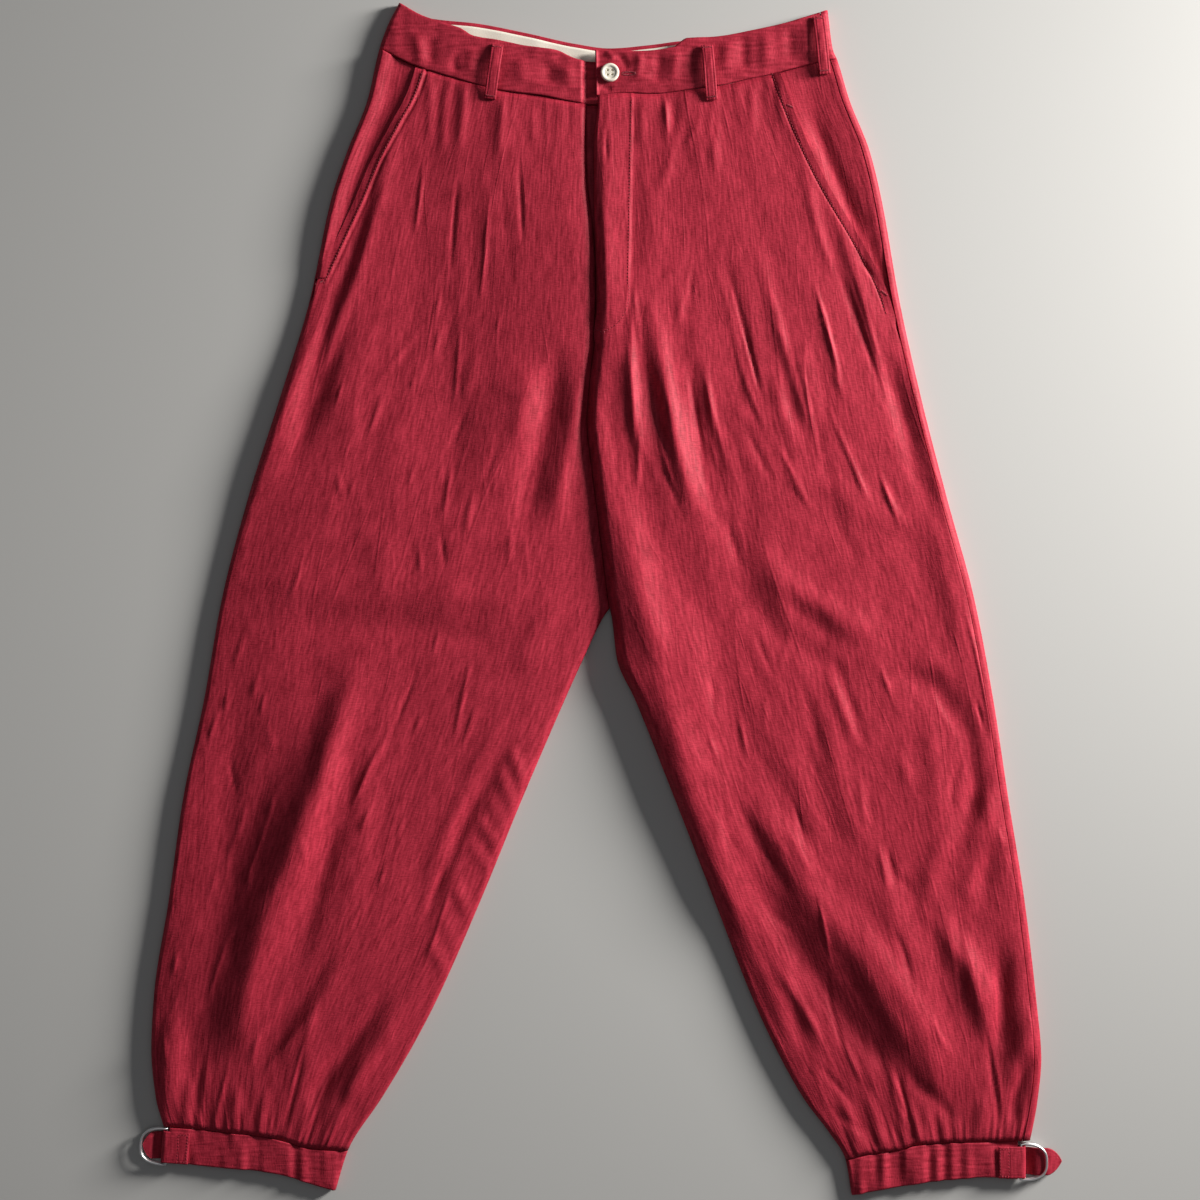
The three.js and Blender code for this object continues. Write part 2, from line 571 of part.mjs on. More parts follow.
function solid(geometry) {
  const bare = geometry.clone();
  bare.deleteAttribute('normal');
  bare.deleteAttribute('uv');
  const merged = mergeVertices(bare, 1e-4);
  return new wasm.Manifold(new wasm.Mesh({
    numProp: 3,
    vertProperties: new Float32Array(merged.getAttribute('position').array),
    triVerts: new Uint32Array(merged.getIndex().array),
  }));
}

function fromSolid(manifold) {
  const { vertProperties, triVerts } = manifold.getMesh();
  const geometry = new THREE.BufferGeometry();
  geometry.setAttribute('position', new THREE.BufferAttribute(new Float32Array(vertProperties), 3));
  geometry.setIndex(new THREE.BufferAttribute(new Uint32Array(triVerts), 1));
  geometry.computeVertexNormals();
  return geometry;
}

// Four-hole button with a raised rim.
function buttonGeometry() {
  const { radius, thickness, hole, pitch } = BUTTON;
  const profile = [[0, 0], [radius - 0.9, 0], [radius, 0.9], [radius, thickness - 0.7],
    [radius - 0.7, thickness], [radius - 1.7, thickness], [radius - 2.6, thickness - 0.8],
    [0, thickness - 0.8]];
  const disc = new THREE.LatheGeometry(profile.map(([r, z]) => new THREE.Vector2(r, z)), 32);
  disc.rotateX(Math.PI / 2);
  let body = solid(disc);
  for (const [i, j] of [[1, 1], [1, -1], [-1, 1], [-1, -1]]) {
    const drill = new THREE.CylinderGeometry(hole, hole, thickness * 3, 10);
    drill.rotateX(Math.PI / 2);
    drill.translate(i * pitch, j * pitch, 0);
    body = body.subtract(solid(drill));
  }
  const geometry = fromSolid(body);
  const highest = Math.max(...[-1, 0, 1].flatMap((i) => [-1, 0, 1].map((j) => frontHeight('left',
    BUTTON.x + i * radius, BUTTON.y + j * radius))));
  geometry.translate(BUTTON.x, BUTTON.y, highest + BUTTON.clear);
  return geometry;
}

// Cuff: a band folded flat round the inseam edge and open at the outer side.
function cuffBand(side) {
  const { height, roundness, thickness } = CUFF;
  const bounds = {
    top: (x) => curve(CROSSING[side].cuff, x) - UNDER_GAP,
    bottom: (x) => curve(CROSSING[side].hem, x),
  };
  const frontEnd = BUCKLES[side].bar - SIGN[side] * CUFF_END.front;
  const backEnd = BUCKLES[side].bar - SIGN[side] * CUFF_END.back;
  const inner = (y) => innerEdge(side, y);
  const path = [];
  const straight = 14;
  for (let k = 0; k <= straight; k += 1) {
    const t = k / straight;
    path.push({ columnX: (y) => mix(backEnd, inner(y) + SIGN[side] * roundness, t), z: 0 });
  }
  for (let k = 1; k < 8; k += 1) {
    const turn = (k / 8) * Math.PI;
    path.push({
      columnX: (y) => inner(y) + SIGN[side] * roundness * (1 - Math.sin(turn)),
      z: (height / 2) * (1 - Math.cos(turn)),
    });
  }
  for (let k = 0; k <= straight; k += 1) {
    const t = k / straight;
    path.push({ columnX: (y) => mix(inner(y) + SIGN[side] * roundness, frontEnd, t), z: height });
  }
  const grid = [0, 0.5, 1].map((down) => path.map(({ columnX, z }) => {
    const [x, y] = place(bounds, columnX, down);
    return new THREE.Vector3(x, y, z);
  }));
  grid.forEach((row) => row.reverse());
  return foldedWall(grid, thickness);
}

// A wall whose rows fold back on themselves: its thickness is laid towards the inside of the fold.
function foldedWall(grid, thickness) {
  const first = grid[0];
  const fold = first[Math.floor(first.length / 2)];
  const geometry = wall(grid, thickness, true);
  const probe = geometry.getAttribute('position');
  const cols = first.length;
  const inside = grid.length * cols;
  const mid = Math.floor(cols / 2);
  const outward = Math.sign(fold.x - first[0].x);
  const offset = probe.getX(inside + mid) - probe.getX(mid);
  return Math.sign(offset) === -outward ? geometry : wall(grid, thickness, false);
}

// Ring of round wire: a straight bar at x = 0 and a full curve out to its width.
function ringGeometry() {
  const { height, width, wire, squareness } = RING;
  const reach = width - wire;
  const rise = (height - wire) / 2;
  const power = (value) => Math.sign(value) * Math.abs(value) ** squareness;
  const path = [];
  for (let k = 0; k <= 18; k += 1) {
    const turn = mix(-Math.PI / 2, Math.PI / 2, k / 18);
    path.push(new THREE.Vector3(reach * power(Math.cos(turn)), rise * power(Math.sin(turn)), 0));
  }
  for (let k = 1; k < 4; k += 1) path.push(new THREE.Vector3(0, mix(rise, -rise, k / 4), 0));
  const sides = 6;
  const positions = [];
  const index = [];
  path.forEach((point, k) => {
    const before = path[(k + path.length - 1) % path.length];
    const after = path[(k + 1) % path.length];
    const along = after.clone().sub(before).normalize();
    const outward = new THREE.Vector3(along.y, -along.x, 0);
    for (let s = 0; s < sides; s += 1) {
      const turn = (s / sides) * Math.PI * 2;
      const vertex = point.clone().addScaledVector(outward, Math.cos(turn) * wire / 2);
      positions.push(vertex.x, vertex.y, Math.sin(turn) * wire / 2);
      const a = k * sides + s;
      const b = k * sides + (s + 1) % sides;
      const c = ((k + 1) % path.length) * sides + (s + 1) % sides;
      const d = ((k + 1) % path.length) * sides + s;
      index.push(a, c, b, a, d, c);
    }
  });
  const geometry = new THREE.BufferGeometry();
  geometry.setAttribute('position', new THREE.Float32BufferAttribute(positions, 3));
  geometry.setIndex(index);
  geometry.computeVertexNormals();
  return geometry;
}

// Heights of the buckle's layers: the tab lies on the cuff and wraps both ring bars, one over the
// other, and the strap runs under it and out between the two rings.
const TAB_TOP = CUFF.height + SEAM_GAP + TAB.thickness;
const BAR_HIGH = CUFF.height - RING.wire / 2;
const BAR_LOW = BAR_HIGH - RING.wire - SEAM_GAP;
const TAB_UNDER = BAR_LOW - RING.wire / 2 - SEAM_GAP - TAB.thickness;
const RING_TILT = { high: -1.3, low: 5.2 };

// A strip that is bent along x only, from the outline of its outer face and its half-width.
function strip(profile, halfWidth, thickness, faceUp) {
  const spread = [-1, -0.4, 0.4, 1];
  const grid = spread.map((s) => profile.map(([x, z], k) => new THREE.Vector3(x,
    s * halfWidth(k / (profile.length - 1), x), z)));
  return wall(grid, thickness, faceUp);
}

function tabGeometry() {
  const centre = (TAB_TOP + TAB_UNDER) / 2;
  const radius = (TAB_TOP - TAB_UNDER) / 2;
  const profile = [[-TAB.length, TAB_TOP], [-TAB.length * 0.5, TAB_TOP], [0.3, TAB_TOP]];
  for (let k = 1; k < 10; k += 1) {
    const turn = (k / 10) * Math.PI;
    profile.push([0.3 + radius * Math.sin(turn), centre + radius * Math.cos(turn)]);
  }
  profile.push([0.3, TAB_UNDER], [-2.2, TAB_UNDER]);
  const spread = [-0.5, 0, 0.5];
  const grid = spread.map((s) => profile.map(([x, z]) => new THREE.Vector3(x, s * TAB.width, z)));
  return foldedWall(grid, TAB.thickness);
}

// The strap: sewn to the cuff's back end, up through the lower ring, and out under the upper one
// to a pointed tip.
function strapGeometry(tip) {
  const top = STRAP.thickness;
  const high = BAR_HIGH - 1.0;
  const profile = [[-3.6, top], [1.2, top], [5, top]];
  for (let k = 1; k <= 6; k += 1) profile.push([mix(5, 15.5, k / 6), mix(top, high, smooth(k / 6))]);
  const sag = tip > 24 ? 2.6 : 0;
  for (let k = 1; k <= 8; k += 1) {
    const t = k / 8;
    profile.push([mix(15.5, tip, t), high - sag * smooth((t - 0.35) / 0.65)]);
  }
  const point = Math.min(13, tip - 12);
  const halfWidth = (t, x) => (STRAP.width / 2) * Math.max(0.07,
    Math.sqrt(clamp((tip - x) / point, 0, 1)) * 0.35 + 0.65 * smooth((tip - x) / point));
  return strip(profile, halfWidth, STRAP.thickness, true);
}

function buckle(side) {
  const { bar, y, turn, tip } = BUCKLES[side];
  const group = new THREE.Group();
  group.position.set(bar, y, 0);
  group.rotation.z = THREE.MathUtils.degToRad(turn);
  group.add(finish(`cuff_tab_${side}`, tabGeometry(), COLOURS.cloth));
  group.add(finish(`strap_${side}`, strapGeometry(tip), COLOURS.cloth));
  const rings = [
    { name: `d_ring_upper_${side}`, z: BAR_HIGH, x: 0, tilt: RING_TILT.high },
    { name: `d_ring_lower_${side}`, z: BAR_LOW, x: -0.2, tilt: RING_TILT.low },
  ];
  for (const { name, z, x, tilt } of rings) {
    const ring = finish(name, ringGeometry(), COLOURS.metal, 0.25, 1);
    ring.position.set(x, 0, z);
    ring.rotation.y = THREE.MathUtils.degToRad(tilt);
    group.add(ring);
  }
  return group;
}

const trousers = new THREE.Group();
for (const side of ['right', 'left']) {
  trousers.add(finish(`front_${side}_leg`, frontLeg(side), COLOURS.cloth));
  trousers.add(finish(`back_${side}_leg`, backLeg(side), COLOURS.cloth));
  trousers.add(finish(`pocket_facing_${side}`, pocketFacing(side), COLOURS.cloth));
  trousers.add(finish(`waistband_front_${side}`, waistbandFront(side), COLOURS.cloth));
  trousers.add(finish(`cuff_${side}`, cuffBand(side), COLOURS.cloth));
  trousers.add(buckle(side));
}
trousers.add(finish('waistband_back', waistbandBack(), COLOURS.cloth));
trousers.add(finish('waistband_lining', waistbandLining(), COLOURS.lining));
trousers.add(finish('fly_shield', flyShield(), COLOURS.cloth));
for (const loop of LOOPS) trousers.add(finish(loop.name, beltLoop(loop), COLOURS.cloth));
trousers.add(finish('button', buttonGeometry(), COLOURS.button, 0.4));

export default trousers;
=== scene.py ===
import math

import bmesh
import bpy
import numpy as np
from mathutils import Matrix, Vector


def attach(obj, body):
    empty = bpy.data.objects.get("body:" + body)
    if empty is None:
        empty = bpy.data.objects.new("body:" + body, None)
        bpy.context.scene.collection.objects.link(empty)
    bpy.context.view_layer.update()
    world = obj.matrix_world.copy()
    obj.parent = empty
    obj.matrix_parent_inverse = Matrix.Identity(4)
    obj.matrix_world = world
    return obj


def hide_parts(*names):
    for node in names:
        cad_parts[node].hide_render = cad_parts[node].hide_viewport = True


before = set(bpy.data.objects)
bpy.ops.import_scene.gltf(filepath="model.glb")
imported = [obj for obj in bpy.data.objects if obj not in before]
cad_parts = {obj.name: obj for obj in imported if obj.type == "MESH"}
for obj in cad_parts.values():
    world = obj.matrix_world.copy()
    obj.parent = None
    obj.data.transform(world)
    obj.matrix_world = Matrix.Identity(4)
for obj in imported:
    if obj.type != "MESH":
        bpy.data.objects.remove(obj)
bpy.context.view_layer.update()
scene = bpy.context.scene

# Floor, light and camera. The trousers lie flat and are seen from straight above. The light is a
# soft window low on the image's right, so every fold is bright on its right and dark on its left.
scene.view_settings.view_transform = "Standard"
scene.view_settings.look = "None"


def finished(bm, name):
    """The object of a modelled piece, smooth-shaded, with its place in its mesh."""
    for face in bm.faces:
        face.smooth = True
    mesh = bpy.data.meshes.new(name)
    bm.to_mesh(mesh)
    bm.free()
    piece = bpy.data.objects.new(name, mesh)
    scene.collection.objects.link(piece)
    return piece


def set_inputs(node, inputs):
    """Set a node's inputs, each to a plain value or to another node's output."""
    for name, value in inputs.items():
        if isinstance(value, bpy.types.NodeSocket):
            node.id_data.links.new(value, node.inputs[name])
        else:
            node.inputs[name].default_value = value


def new_material(name, inputs):
    """A material and its shader, with the shader's plain inputs set."""
    material = bpy.data.materials.new(name)
    material.use_nodes = True
    shader = material.node_tree.nodes["Principled BSDF"]
    set_inputs(shader, inputs)
    return material, shader


bm = bmesh.new()
bmesh.ops.create_grid(bm, x_segments=2, y_segments=2, size=6.0)
bmesh.ops.translate(bm, verts=bm.verts, vec=(0, 0, -0.0003))
floor = finished(bm, "floor")
floor_paint, _ = new_material("pale_floor", {
    "Base Color": (0.52, 0.52, 0.51, 1), "Roughness": 0.9})
floor.data.materials.append(floor_paint)

camera_data = bpy.data.cameras.new("camera")
camera_data.lens = 70
camera_data.sensor_width = 36
camera = bpy.data.objects.new("camera", camera_data)
camera.location = (-0.00085, -0.000425, 1.992)
scene.collection.objects.link(camera)
scene.camera = camera

window_data = bpy.data.lights.new("window", "AREA")
window_data.shape = "RECTANGLE"
window_data.size = 0.55
window_data.size_y = 0.8
window_data.energy = 41
window_data.spread = math.radians(95)
window_data.color = (1.0, 0.97, 0.93)
window = bpy.data.objects.new("window", window_data)
window.location = (2.1, 0.95, 0.72)
window.rotation_euler = (-window.location).to_track_quat("-Z", "Y").to_euler()
scene.collection.objects.link(window)

overhead_data = bpy.data.lights.new("overhead", "AREA")
overhead_data.shape = "DISK"
overhead_data.size = 3.0
overhead_data.energy = 5
overhead = bpy.data.objects.new("overhead", overhead_data)
overhead.location = (0.4, 0.3, 2.9)
scene.collection.objects.link(overhead)

world = bpy.data.worlds.new("studio")
world.use_nodes = True
set_inputs(world.node_tree.nodes["Background"], {"Color": (0.93, 0.95, 1.0, 1), "Strength": 0.08})
scene.world = world


# Front of the wearer's right leg, at the image's left. One panel of crinkled, slightly lustrous
# crimson linen, sewn to the waistband, the cuff, the pocket facing, the left front and the back.
# Tables are in millimetres, in the frame of the solids. Lines down the leg have rows of y and x,
# and the lines across it (top, waist, cuff and hem) rows of x and y.
LINEN_THICKNESS = 1.2
SEAM_GAP = 0.15  # between neighbours, and three times as much beside doubled cloth
EDGE_HEIGHT = 4.5  # where front and back meet at the side
EDGE_RADIUS = 4.5
FRONT_ROLL = 11.5  # strip at the outer edge with dense columns
SHOULDER = 9.0  # the front's height near its edges, from which CROWN rises
DOME_REACH = 36.0
EDGE_CLEAR = 9  # strip at the edges in which the folds fade out
SEAM_DENT, DENT_WIDTH = 0.8, 1.6  # along the waist seam and the cuff's seam
GATHER_HEIGHT, GATHER_REACH = 1.3, 17  # above the cuff
TUCK_HEIGHT, TUCK_REACH = 0.7, 20  # below the waist seam
CLOTH_HALF_WIDTH = 260
CROTCH_X, CROTCH_Y = 7.4, -7.2
CENTRE_SEAM_TOP = 217  # above it the fly is open
FLY_WIDTH, FLY_FOOT, FLY_TURN = 25.5, 226, 34
CENTRE_SEAM = [(217, -5.3), (187, -9.4), (151, -11.9), (110, -7.7), (76, -3.4), (34, 1.7), (0, 6),
               (-7.2, 7.4)]
CROWN = [(508, 9.3), (440, 9.8), (380, 12), (200, 13), (-300, 13), (-400, 12), (-450, 9.4),
         (-480, 8.6)]

right = {
    "side": "right",
    "sign": -1,
    "seam": 0.0,  # how far in from the outer edge the side seam lies
    "seed": 11,
    "outer": [(508, -172), (488, -182), (468, -189), (425, -199), (382, -216), (340, -230),
              (255, -248), (170, -274), (85, -301), (0, -323), (-85, -338), (-170, -356),
              (-255, -368), (-340, -381), (-383, -383), (-425, -379), (-451, -372), (-480, -367)],
    "opening": [(454, -157), (430, -165), (402, -180), (373, -195.5), (339, -210), (295, -230.4),
                (267, -243)],
    "fly": [(508, -12), (402, -13), (357, -12), (326, -8), (295, -5.2), (255, -4.4), (217, -5.6)],
    "inseam": [(-7.2, 7.4), (-17, 0.9), (-51, -15.3), (-85, -30.6), (-170, -67.2), (-255, -102),
               (-340, -139.4), (-383, -161.9), (-425, -187), (-468, -215), (-503, -226)],
    "top": [(-172, 508), (-153, 497), (-138.6, 491.7), (-120, 485.8), (-108, 479), (-87.6, 475.6),
            (-64, 470.8), (-38, 467.1), (-24.7, 461.1), (-16, 458.6), (6, 457)],
    "waist": [(-189, 468.5), (-158, 453.5), (-134, 445.8), (-104, 437.3), (-83, 432.2), (-50, 428),
              (-16, 422), (6, 421)],
    "cuff": [(-370, -448.4), (-347, -450), (-325, -452.6), (-293, -456), (-274, -459.4),
             (-246.5, -467), (-216, -469.2)],
    "hem": [(-367, -478.6), (-327, -483.2), (-295, -485.8), (-270, -490), (-246.5, -497.3),
            (-227.8, -502.8)],
    "inner_height": [(508, 5), (424, 4.8), (230, 4.7), (187, 6), (110, 5.2), (0, 4.7), (-20, 4.5),
                     (-508, 4.5)],
    "inner_roll": [(508, 5), (230, 6), (151, 12), (34, 14), (-7, 10), (-60, 6), (-508, 5)],
    "grain": [(508, 0), (200, -2), (80, -10), (-20, -28), (-120, -58), (-255, -108), (-383, -168),
              (-508, -232)],
    # How far the cloth banks up beside the fly and inseam, and along the side. None on this leg.
    "bank": [(508, 0), (-508, 0)],
    "side_bank": [(508, 0), (-508, 0)],
}
# Folds: start x, start y, end x, end y, sideways bow, half-width, height.
right["folds"] = [
    (-181, 382, -283, 102, 2.7, 7, -3), (-168, 416, -256, 148, 4.8, 6, 1.8),
    (-246, 255, -317, 17, -4.1, 6, 1.2), (-33, 222, -72, 44, 1.7, 11, -4.5),
    (-15, 193, -42, 55, 0, 8, 2.5), (-76, 221, -96, 76, 1.1, 15, 1.8),
    (-35, 8, -73, -68, 2, 12, 1.5), (-154, 229, -200, 85, 7, 12, 1.2),
    (-111, 187, -145, 51, 2.1, 12, -1.2), (-303, 15, -45, 0, -1.2, 15, 1.4),
    (-298, -28, -60, -41, 10.2, 14, -1.6), (-193, -24, -288, -277, 2.7, 14, 4),
    (-269, -221, -317, -391, -5.3, 18, 4.5), (-252, -77, -341, -340, -5, 13, -2.2),
    (-322, -306, -331, -417, -8.8, 10, -2), (-218, -170, -269, -328, -0.5, 11, -1.5),
    (-361, -340, -365, -447, -3, 9, 2.2), (-218, -285, -294, -408, -1.1, 6, -1.8),
    (-218, -311, -281, -404, 0.8, 6, 1.6), (-176, -325, -252, -436, 1.8, 7, -2.5),
    (-164, -336, -230, -447, 0, 7, 2.2), (-73, -85, -154, -255, -5.3, 6, 1.2),
    (-76, -121, -161, -319, -8.4, 5, -1.4), (-79, -121, -63, -162, -0.4, 4.5, 1.8),
    (-88, -143, -71, -183, 0.2, 4.5, 1.8), (-97, -166, -79, -203, -0.6, 4.5, 1.8),
    (-105, -183, -84, -217, 0, 4.5, 1.8), (-113, -206, -89, -234, -0.3, 4.5, 1.8),
    (-127, -238, -109, -274, -0.4, 4.5, 1.8), (-137, -268, -120, -302, 0, 4.5, 1.8),
    (-147, -289, -130, -319, 0.2, 4.5, 1.6), (-353, -459, -349, -400, 0.8, 5, 1.6),
    (-314, -464, -307, -408, 0.6, 5, 1.8), (-293, -465, -283, -413, 0.2, 5, 1.5),
    (-260, -472, -246, -417, -0.1, 5, 1.5), (-235, -476, -218, -425, 0.8, 5, 1.3),
    (-274, -468, -251, -374, -0.6, 3.5, -1.4), (-348, -458, -337, -379, 0.4, 3.5, -1.4),
    (-144, 453, -146, 382, 0.4, 4, 1.1), (-131, 448, -136, 374, -0.1, 4, 1.1),
    (-115, 443, -121, 382, 0.4, 4, 1.1), (-83, 436, -88, 369, 0.4, 4, 1.1),
    (-60, 433, -58, 382, 0.4, 4, 1),
]
# Finer creases of the same kind, only in the cloth's look.
right["creases"] = [
    (-140, 440, -165, 40, 0, 58, -4.5), (-225, -40, -268, -440, 0, 52, 4),
    (-8, 430, -12, 120, 0, 40, 2.5), (-150, 380, -160, 300, 1, 1.8, 1.1),
    (-120, 370, -128, 270, -1, 2, -1.1), (-95, 350, -104, 240, 1, 2.1, 1.1),
    (-70, 380, -66, 290, 0, 2, -1.1), (-206, -41, -297, -296, 4.8, 11, 2.4),
    (-172, -98, -215, -181, 0, 2.5, 1.1), (-301, -28, -314, -60, 0, 1.8, 1.05),
    (-316, -76, -320, -96, 0, 1.6, 1.1), (-290, -62, -297, -85, 0, 1.8, 1.05),
    (-285, -78, -289, -100, 0, 1.8, 0.9), (-324, -93, -335, -123, 0, 1.8, 1.05),
    (-285, -103, -276, -132, 0, 1.8, 0.75), (-318, -128, -307, -173, 0, 2, -0.9),
    (-299, -173, -312, -198, 0, 2, 0.75), (-276, -166, -283, -184, 0, 1.8, 0.75),
    (-237, -146, -224, -171, 0, 1.8, -1.05), (-153, -53, -181, -123, 0, 2, -1.1),
    (-192, -173, -206, -198, 0, 1.8, 1.05), (-149, -96, -162, -118, 0, 1.8, 0.9),
    (-135, -23, -144, -50, 0, 1.8, 0.9), (-110, -48, -126, -125, 0, 2, 1.1),
    (-103, -85, -119, -128, 0, 2, 1.05), (-181, -220, -190, -248, 0, 2, 1.05),
    (-255, -196, -247, -230, 0, 2, 1.1), (-324, -227, -335, -255, 0, 1.8, 0.9),
    (-314, -216, -323, -250, 0, 1.8, 0.9), (-297, -220, -299, -243, 0, 1.8, 0.75),
    (-103, -159, -133, -223, 0, 5, -1.3), (-129, -220, -148, -263, 0, 2.5, -1.1),
    (-135, -252, -158, -296, 0, 3.5, 0.54), (-167, -186, -174, -203, 0, 1.8, 0.75),
    (-215, 275, -305, 52, -8.8, 9, 2.6), (-201, 272, -262, 111, -2.1, 10, -2.2),
    (-147, 238, -203, 166, -1, 1.9, 1.1), (-135, 232, -144, 204, 0, 1.8, 1.1),
    (-137, 261, -141, 238, 0, 1.8, 0.9), (-119, 238, -125, 155, 0, 1.6, 0.9),
    (-86, 241, -89, 225, 0, 1.6, 0.75), (-158, 189, -162, 179, 0, 1.6, 1.05),
    (-219, 184, -226, 164, 0, 1.8, 1.1), (-183, 179, -201, 130, 0, 2.3, 1.1),
    (-154, 120, -166, 93, 0, 1.8, 1.1), (-113, 161, -131, 123, 0, 2.1, -1.1),
    (-126, 121, -135, 62, 0, 2.1, 1.1), (-106, 100, -118, 46, 0, 2.1, 1.1),
    (-83, 139, -101, 100, 0, 2.3, -1.1), (-60, 204, -74, 120, 0, 9, 2.4),
    (-52, 121, -67, 71, 0, 2.1, 1.1), (-226, 112, -217, 80, 0, 1.8, 0.9),
    (-208, 105, -215, 84, 0, 1.8, 0.75), (-229, 86, -232, 69, 0, 1.6, 0.75),
    (-154, 52, -153, 18, 0, 2, 0.9), (-136, 59, -132, 25, 0, 2, -1.05),
    (-251, 34, -267, -6, 0, 2, 1.1), (-74, 60, -81, 32, 0, 2.5, 1.1),
    (-179, 64, -192, 0, 0, 14, 1.8), (-104, 213, -120, 161, 0, 5, 0.9),
    (-275, -246, -312, -397, -3.2, 12, 2.8), (-347, -343, -357, -441, 3.2, 8, -2.2),
    (-227, -295, -300, -413, -7.6, 6, -1.8), (-240, -331, -259, -406, 1.7, 5, 1.5),
    (-196, -343, -262, -452, 0.5, 9, -2.4), (-194, -378, -221, -428, 0, 7, 2),
    (-306, -265, -337, -356, -2.9, 2.5, 1.1), (-287, -365, -300, -397, 0, 2.5, 1.1),
    (-359, -296, -364, -321, 0, 2, 1.05), (-215, -427, -204, -444, 0, 2.5, -1.1),
    (-223, -450, -231, -464, 0, 2.1, -1.1), (-372, -365, -369, -397, 0, 2.5, 1.1),
    (-215, 275, -305, 52, 3.2, 10, 2.4), (-222, 250, -274, 93, 1.5, 10, -3.6),
    (-222, -90, -300, -330, 3, 19, 3.6), (-300, -60, -330, -330, -6, 16, -2.6),
    (-231, -396, -257, -463, 1.5, 1.8, 1.1), (-313, -386, -331, -461, -1, 1.8, 1.1),
    (-97, -166, -79, -203, -0.6, 4.5, -1.1), (-113, -206, -89, -234, -0.3, 4.5, -0.7),
    (-137, -268, -120, -302, 0, 4.5, -1.2), (-88, -143, -71, -183, 0.2, 4.5, -0.5),
    (-205, -51, -290, -335, 3, 7, 1.5), (-186, -130, -226, -300, 2, 9, 1),
    (-276, -164, -313, -267, 2, 1.7, 1), (-297, -171, -331, -252, 0, 1.7, 0.9),
    (-182, -112, -213, -182, -1, 1.8, 1), (-193, -176, -208, -198, 0, 1.6, 0.8),
    (-188, -244, -224, -291, -1, 1.7, 1), (-250, -367, -271, -448, 0, 1.8, 1.1),
    (-240, -346, -299, -421, -2, 1.8, 1), (-156, -252, -193, -294, 0, 1.6, 0.9),
    (-125, -231, -154, -320, 2, 1.8, 1), (-203, -90, -268, -350, 3, 8, -1.8),
]


def smooth(t):
    t = np.clip(t, 0, 1)
    return t * t * (3 - 2 * t)


def roll(t):
    """The rise of a quarter circle from 0 to 1."""
    return np.sqrt(np.clip(1 - (1 - np.clip(t, 0, 1)) ** 2, 0, 1))


def ridge(aside, half_width):
    """Height 1 along a line, fading out on both sides of it."""
    return np.exp(-(aside / half_width) ** 2)


def curve(rows, at):
    """A smooth line through rows of pairs, level past its ends."""
    knots, values = np.array(sorted(rows), float).T
    slopes = np.diff(values) / np.diff(knots)
    tangents = np.concatenate([slopes[:1], np.zeros(len(slopes) - 1), slopes[-1:]])
    before, after = slopes[:-1], slopes[1:]
    same = before * after > 0
    tangents[1:-1][same] = (2 * before * after)[same] / (before + after)[same]
    at = np.clip(at, knots[0], knots[-1])
    k = np.clip(np.searchsorted(knots, at, side="right") - 1, 0, len(slopes) - 1)
    span = (knots[1:] - knots[:-1])[k]
    t = (at - knots[k]) / span
    ends = t * (1 - t) ** 2 * tangents[k] - t * t * (1 - t) * tangents[k + 1]
    return values[k] + (values[k + 1] - values[k]) * smooth(t) + span * ends


def noise(x, y, seed, across=smooth):
    """Smooth random values from -1 to 1, one knot to each whole number."""
    table = np.random.default_rng(seed).uniform(-1, 1, (256, 256))
    column, row = np.floor(x).astype(int), np.floor(y).astype(int)
    u, v = across(x - column), smooth(y - row)
    low, high = (table[k % 256, column % 256] * (1 - u) + table[k % 256, (column + 1) % 256] * u
                 for k in (row, row + 1))
    return low * (1 - v) + high * v


def facets(x, y, seed):
    """Like noise, but straight between knots across the grain, so each knot is a sharp crease."""
    return noise(x, y, seed, across=lambda u: u)


def outer_edge(leg, y):
    return curve(leg["outer"], y)


def side_seam(leg, y):
    return outer_edge(leg, y) - leg["sign"] * leg["seam"]


def inner_edge(leg, y):
    above = np.where(y < CENTRE_SEAM_TOP, curve(CENTRE_SEAM, y), curve(leg["fly"], y))
    return np.where(y < CROTCH_Y, curve(leg["inseam"], y), above)


def front_limit(leg, y):
    """Where the front ends: at the side seam, and above the pocket's foot at its opening."""
    blend = smooth((y - leg["opening"][-1][0] + 22) / 22)
    return side_seam(leg, y) * (1 - blend) + curve(leg["opening"], y) * blend


def fold_height(folds, x, y, ends=0.3):
    total = np.zeros_like(x)
    for start_x, start_y, end_x, end_y, bow, half_width, height in folds:
        along_x, along_y = end_x - start_x, end_y - start_y
        length = math.hypot(along_x, along_y)
        t = np.clip(((x - start_x) * along_x + (y - start_y) * along_y) / length ** 2, 0, 1)
        aside = (along_x * (y - start_y) - along_y * (x - start_x)) / length
        aside = aside - 4 * bow * t * (1 - t)
        total += height * (smooth(t / ends) * smooth((1 - t) / ends)) * ridge(aside, half_width)
    return total


def grain_line(leg, x, y):
    """How far across the flat cloth a point lies: the grain follows the leg down."""
    axis = curve(leg["grain"], y)
    return CLOTH_HALF_WIDTH * (x - axis) / np.abs(outer_edge(leg, y) - axis)


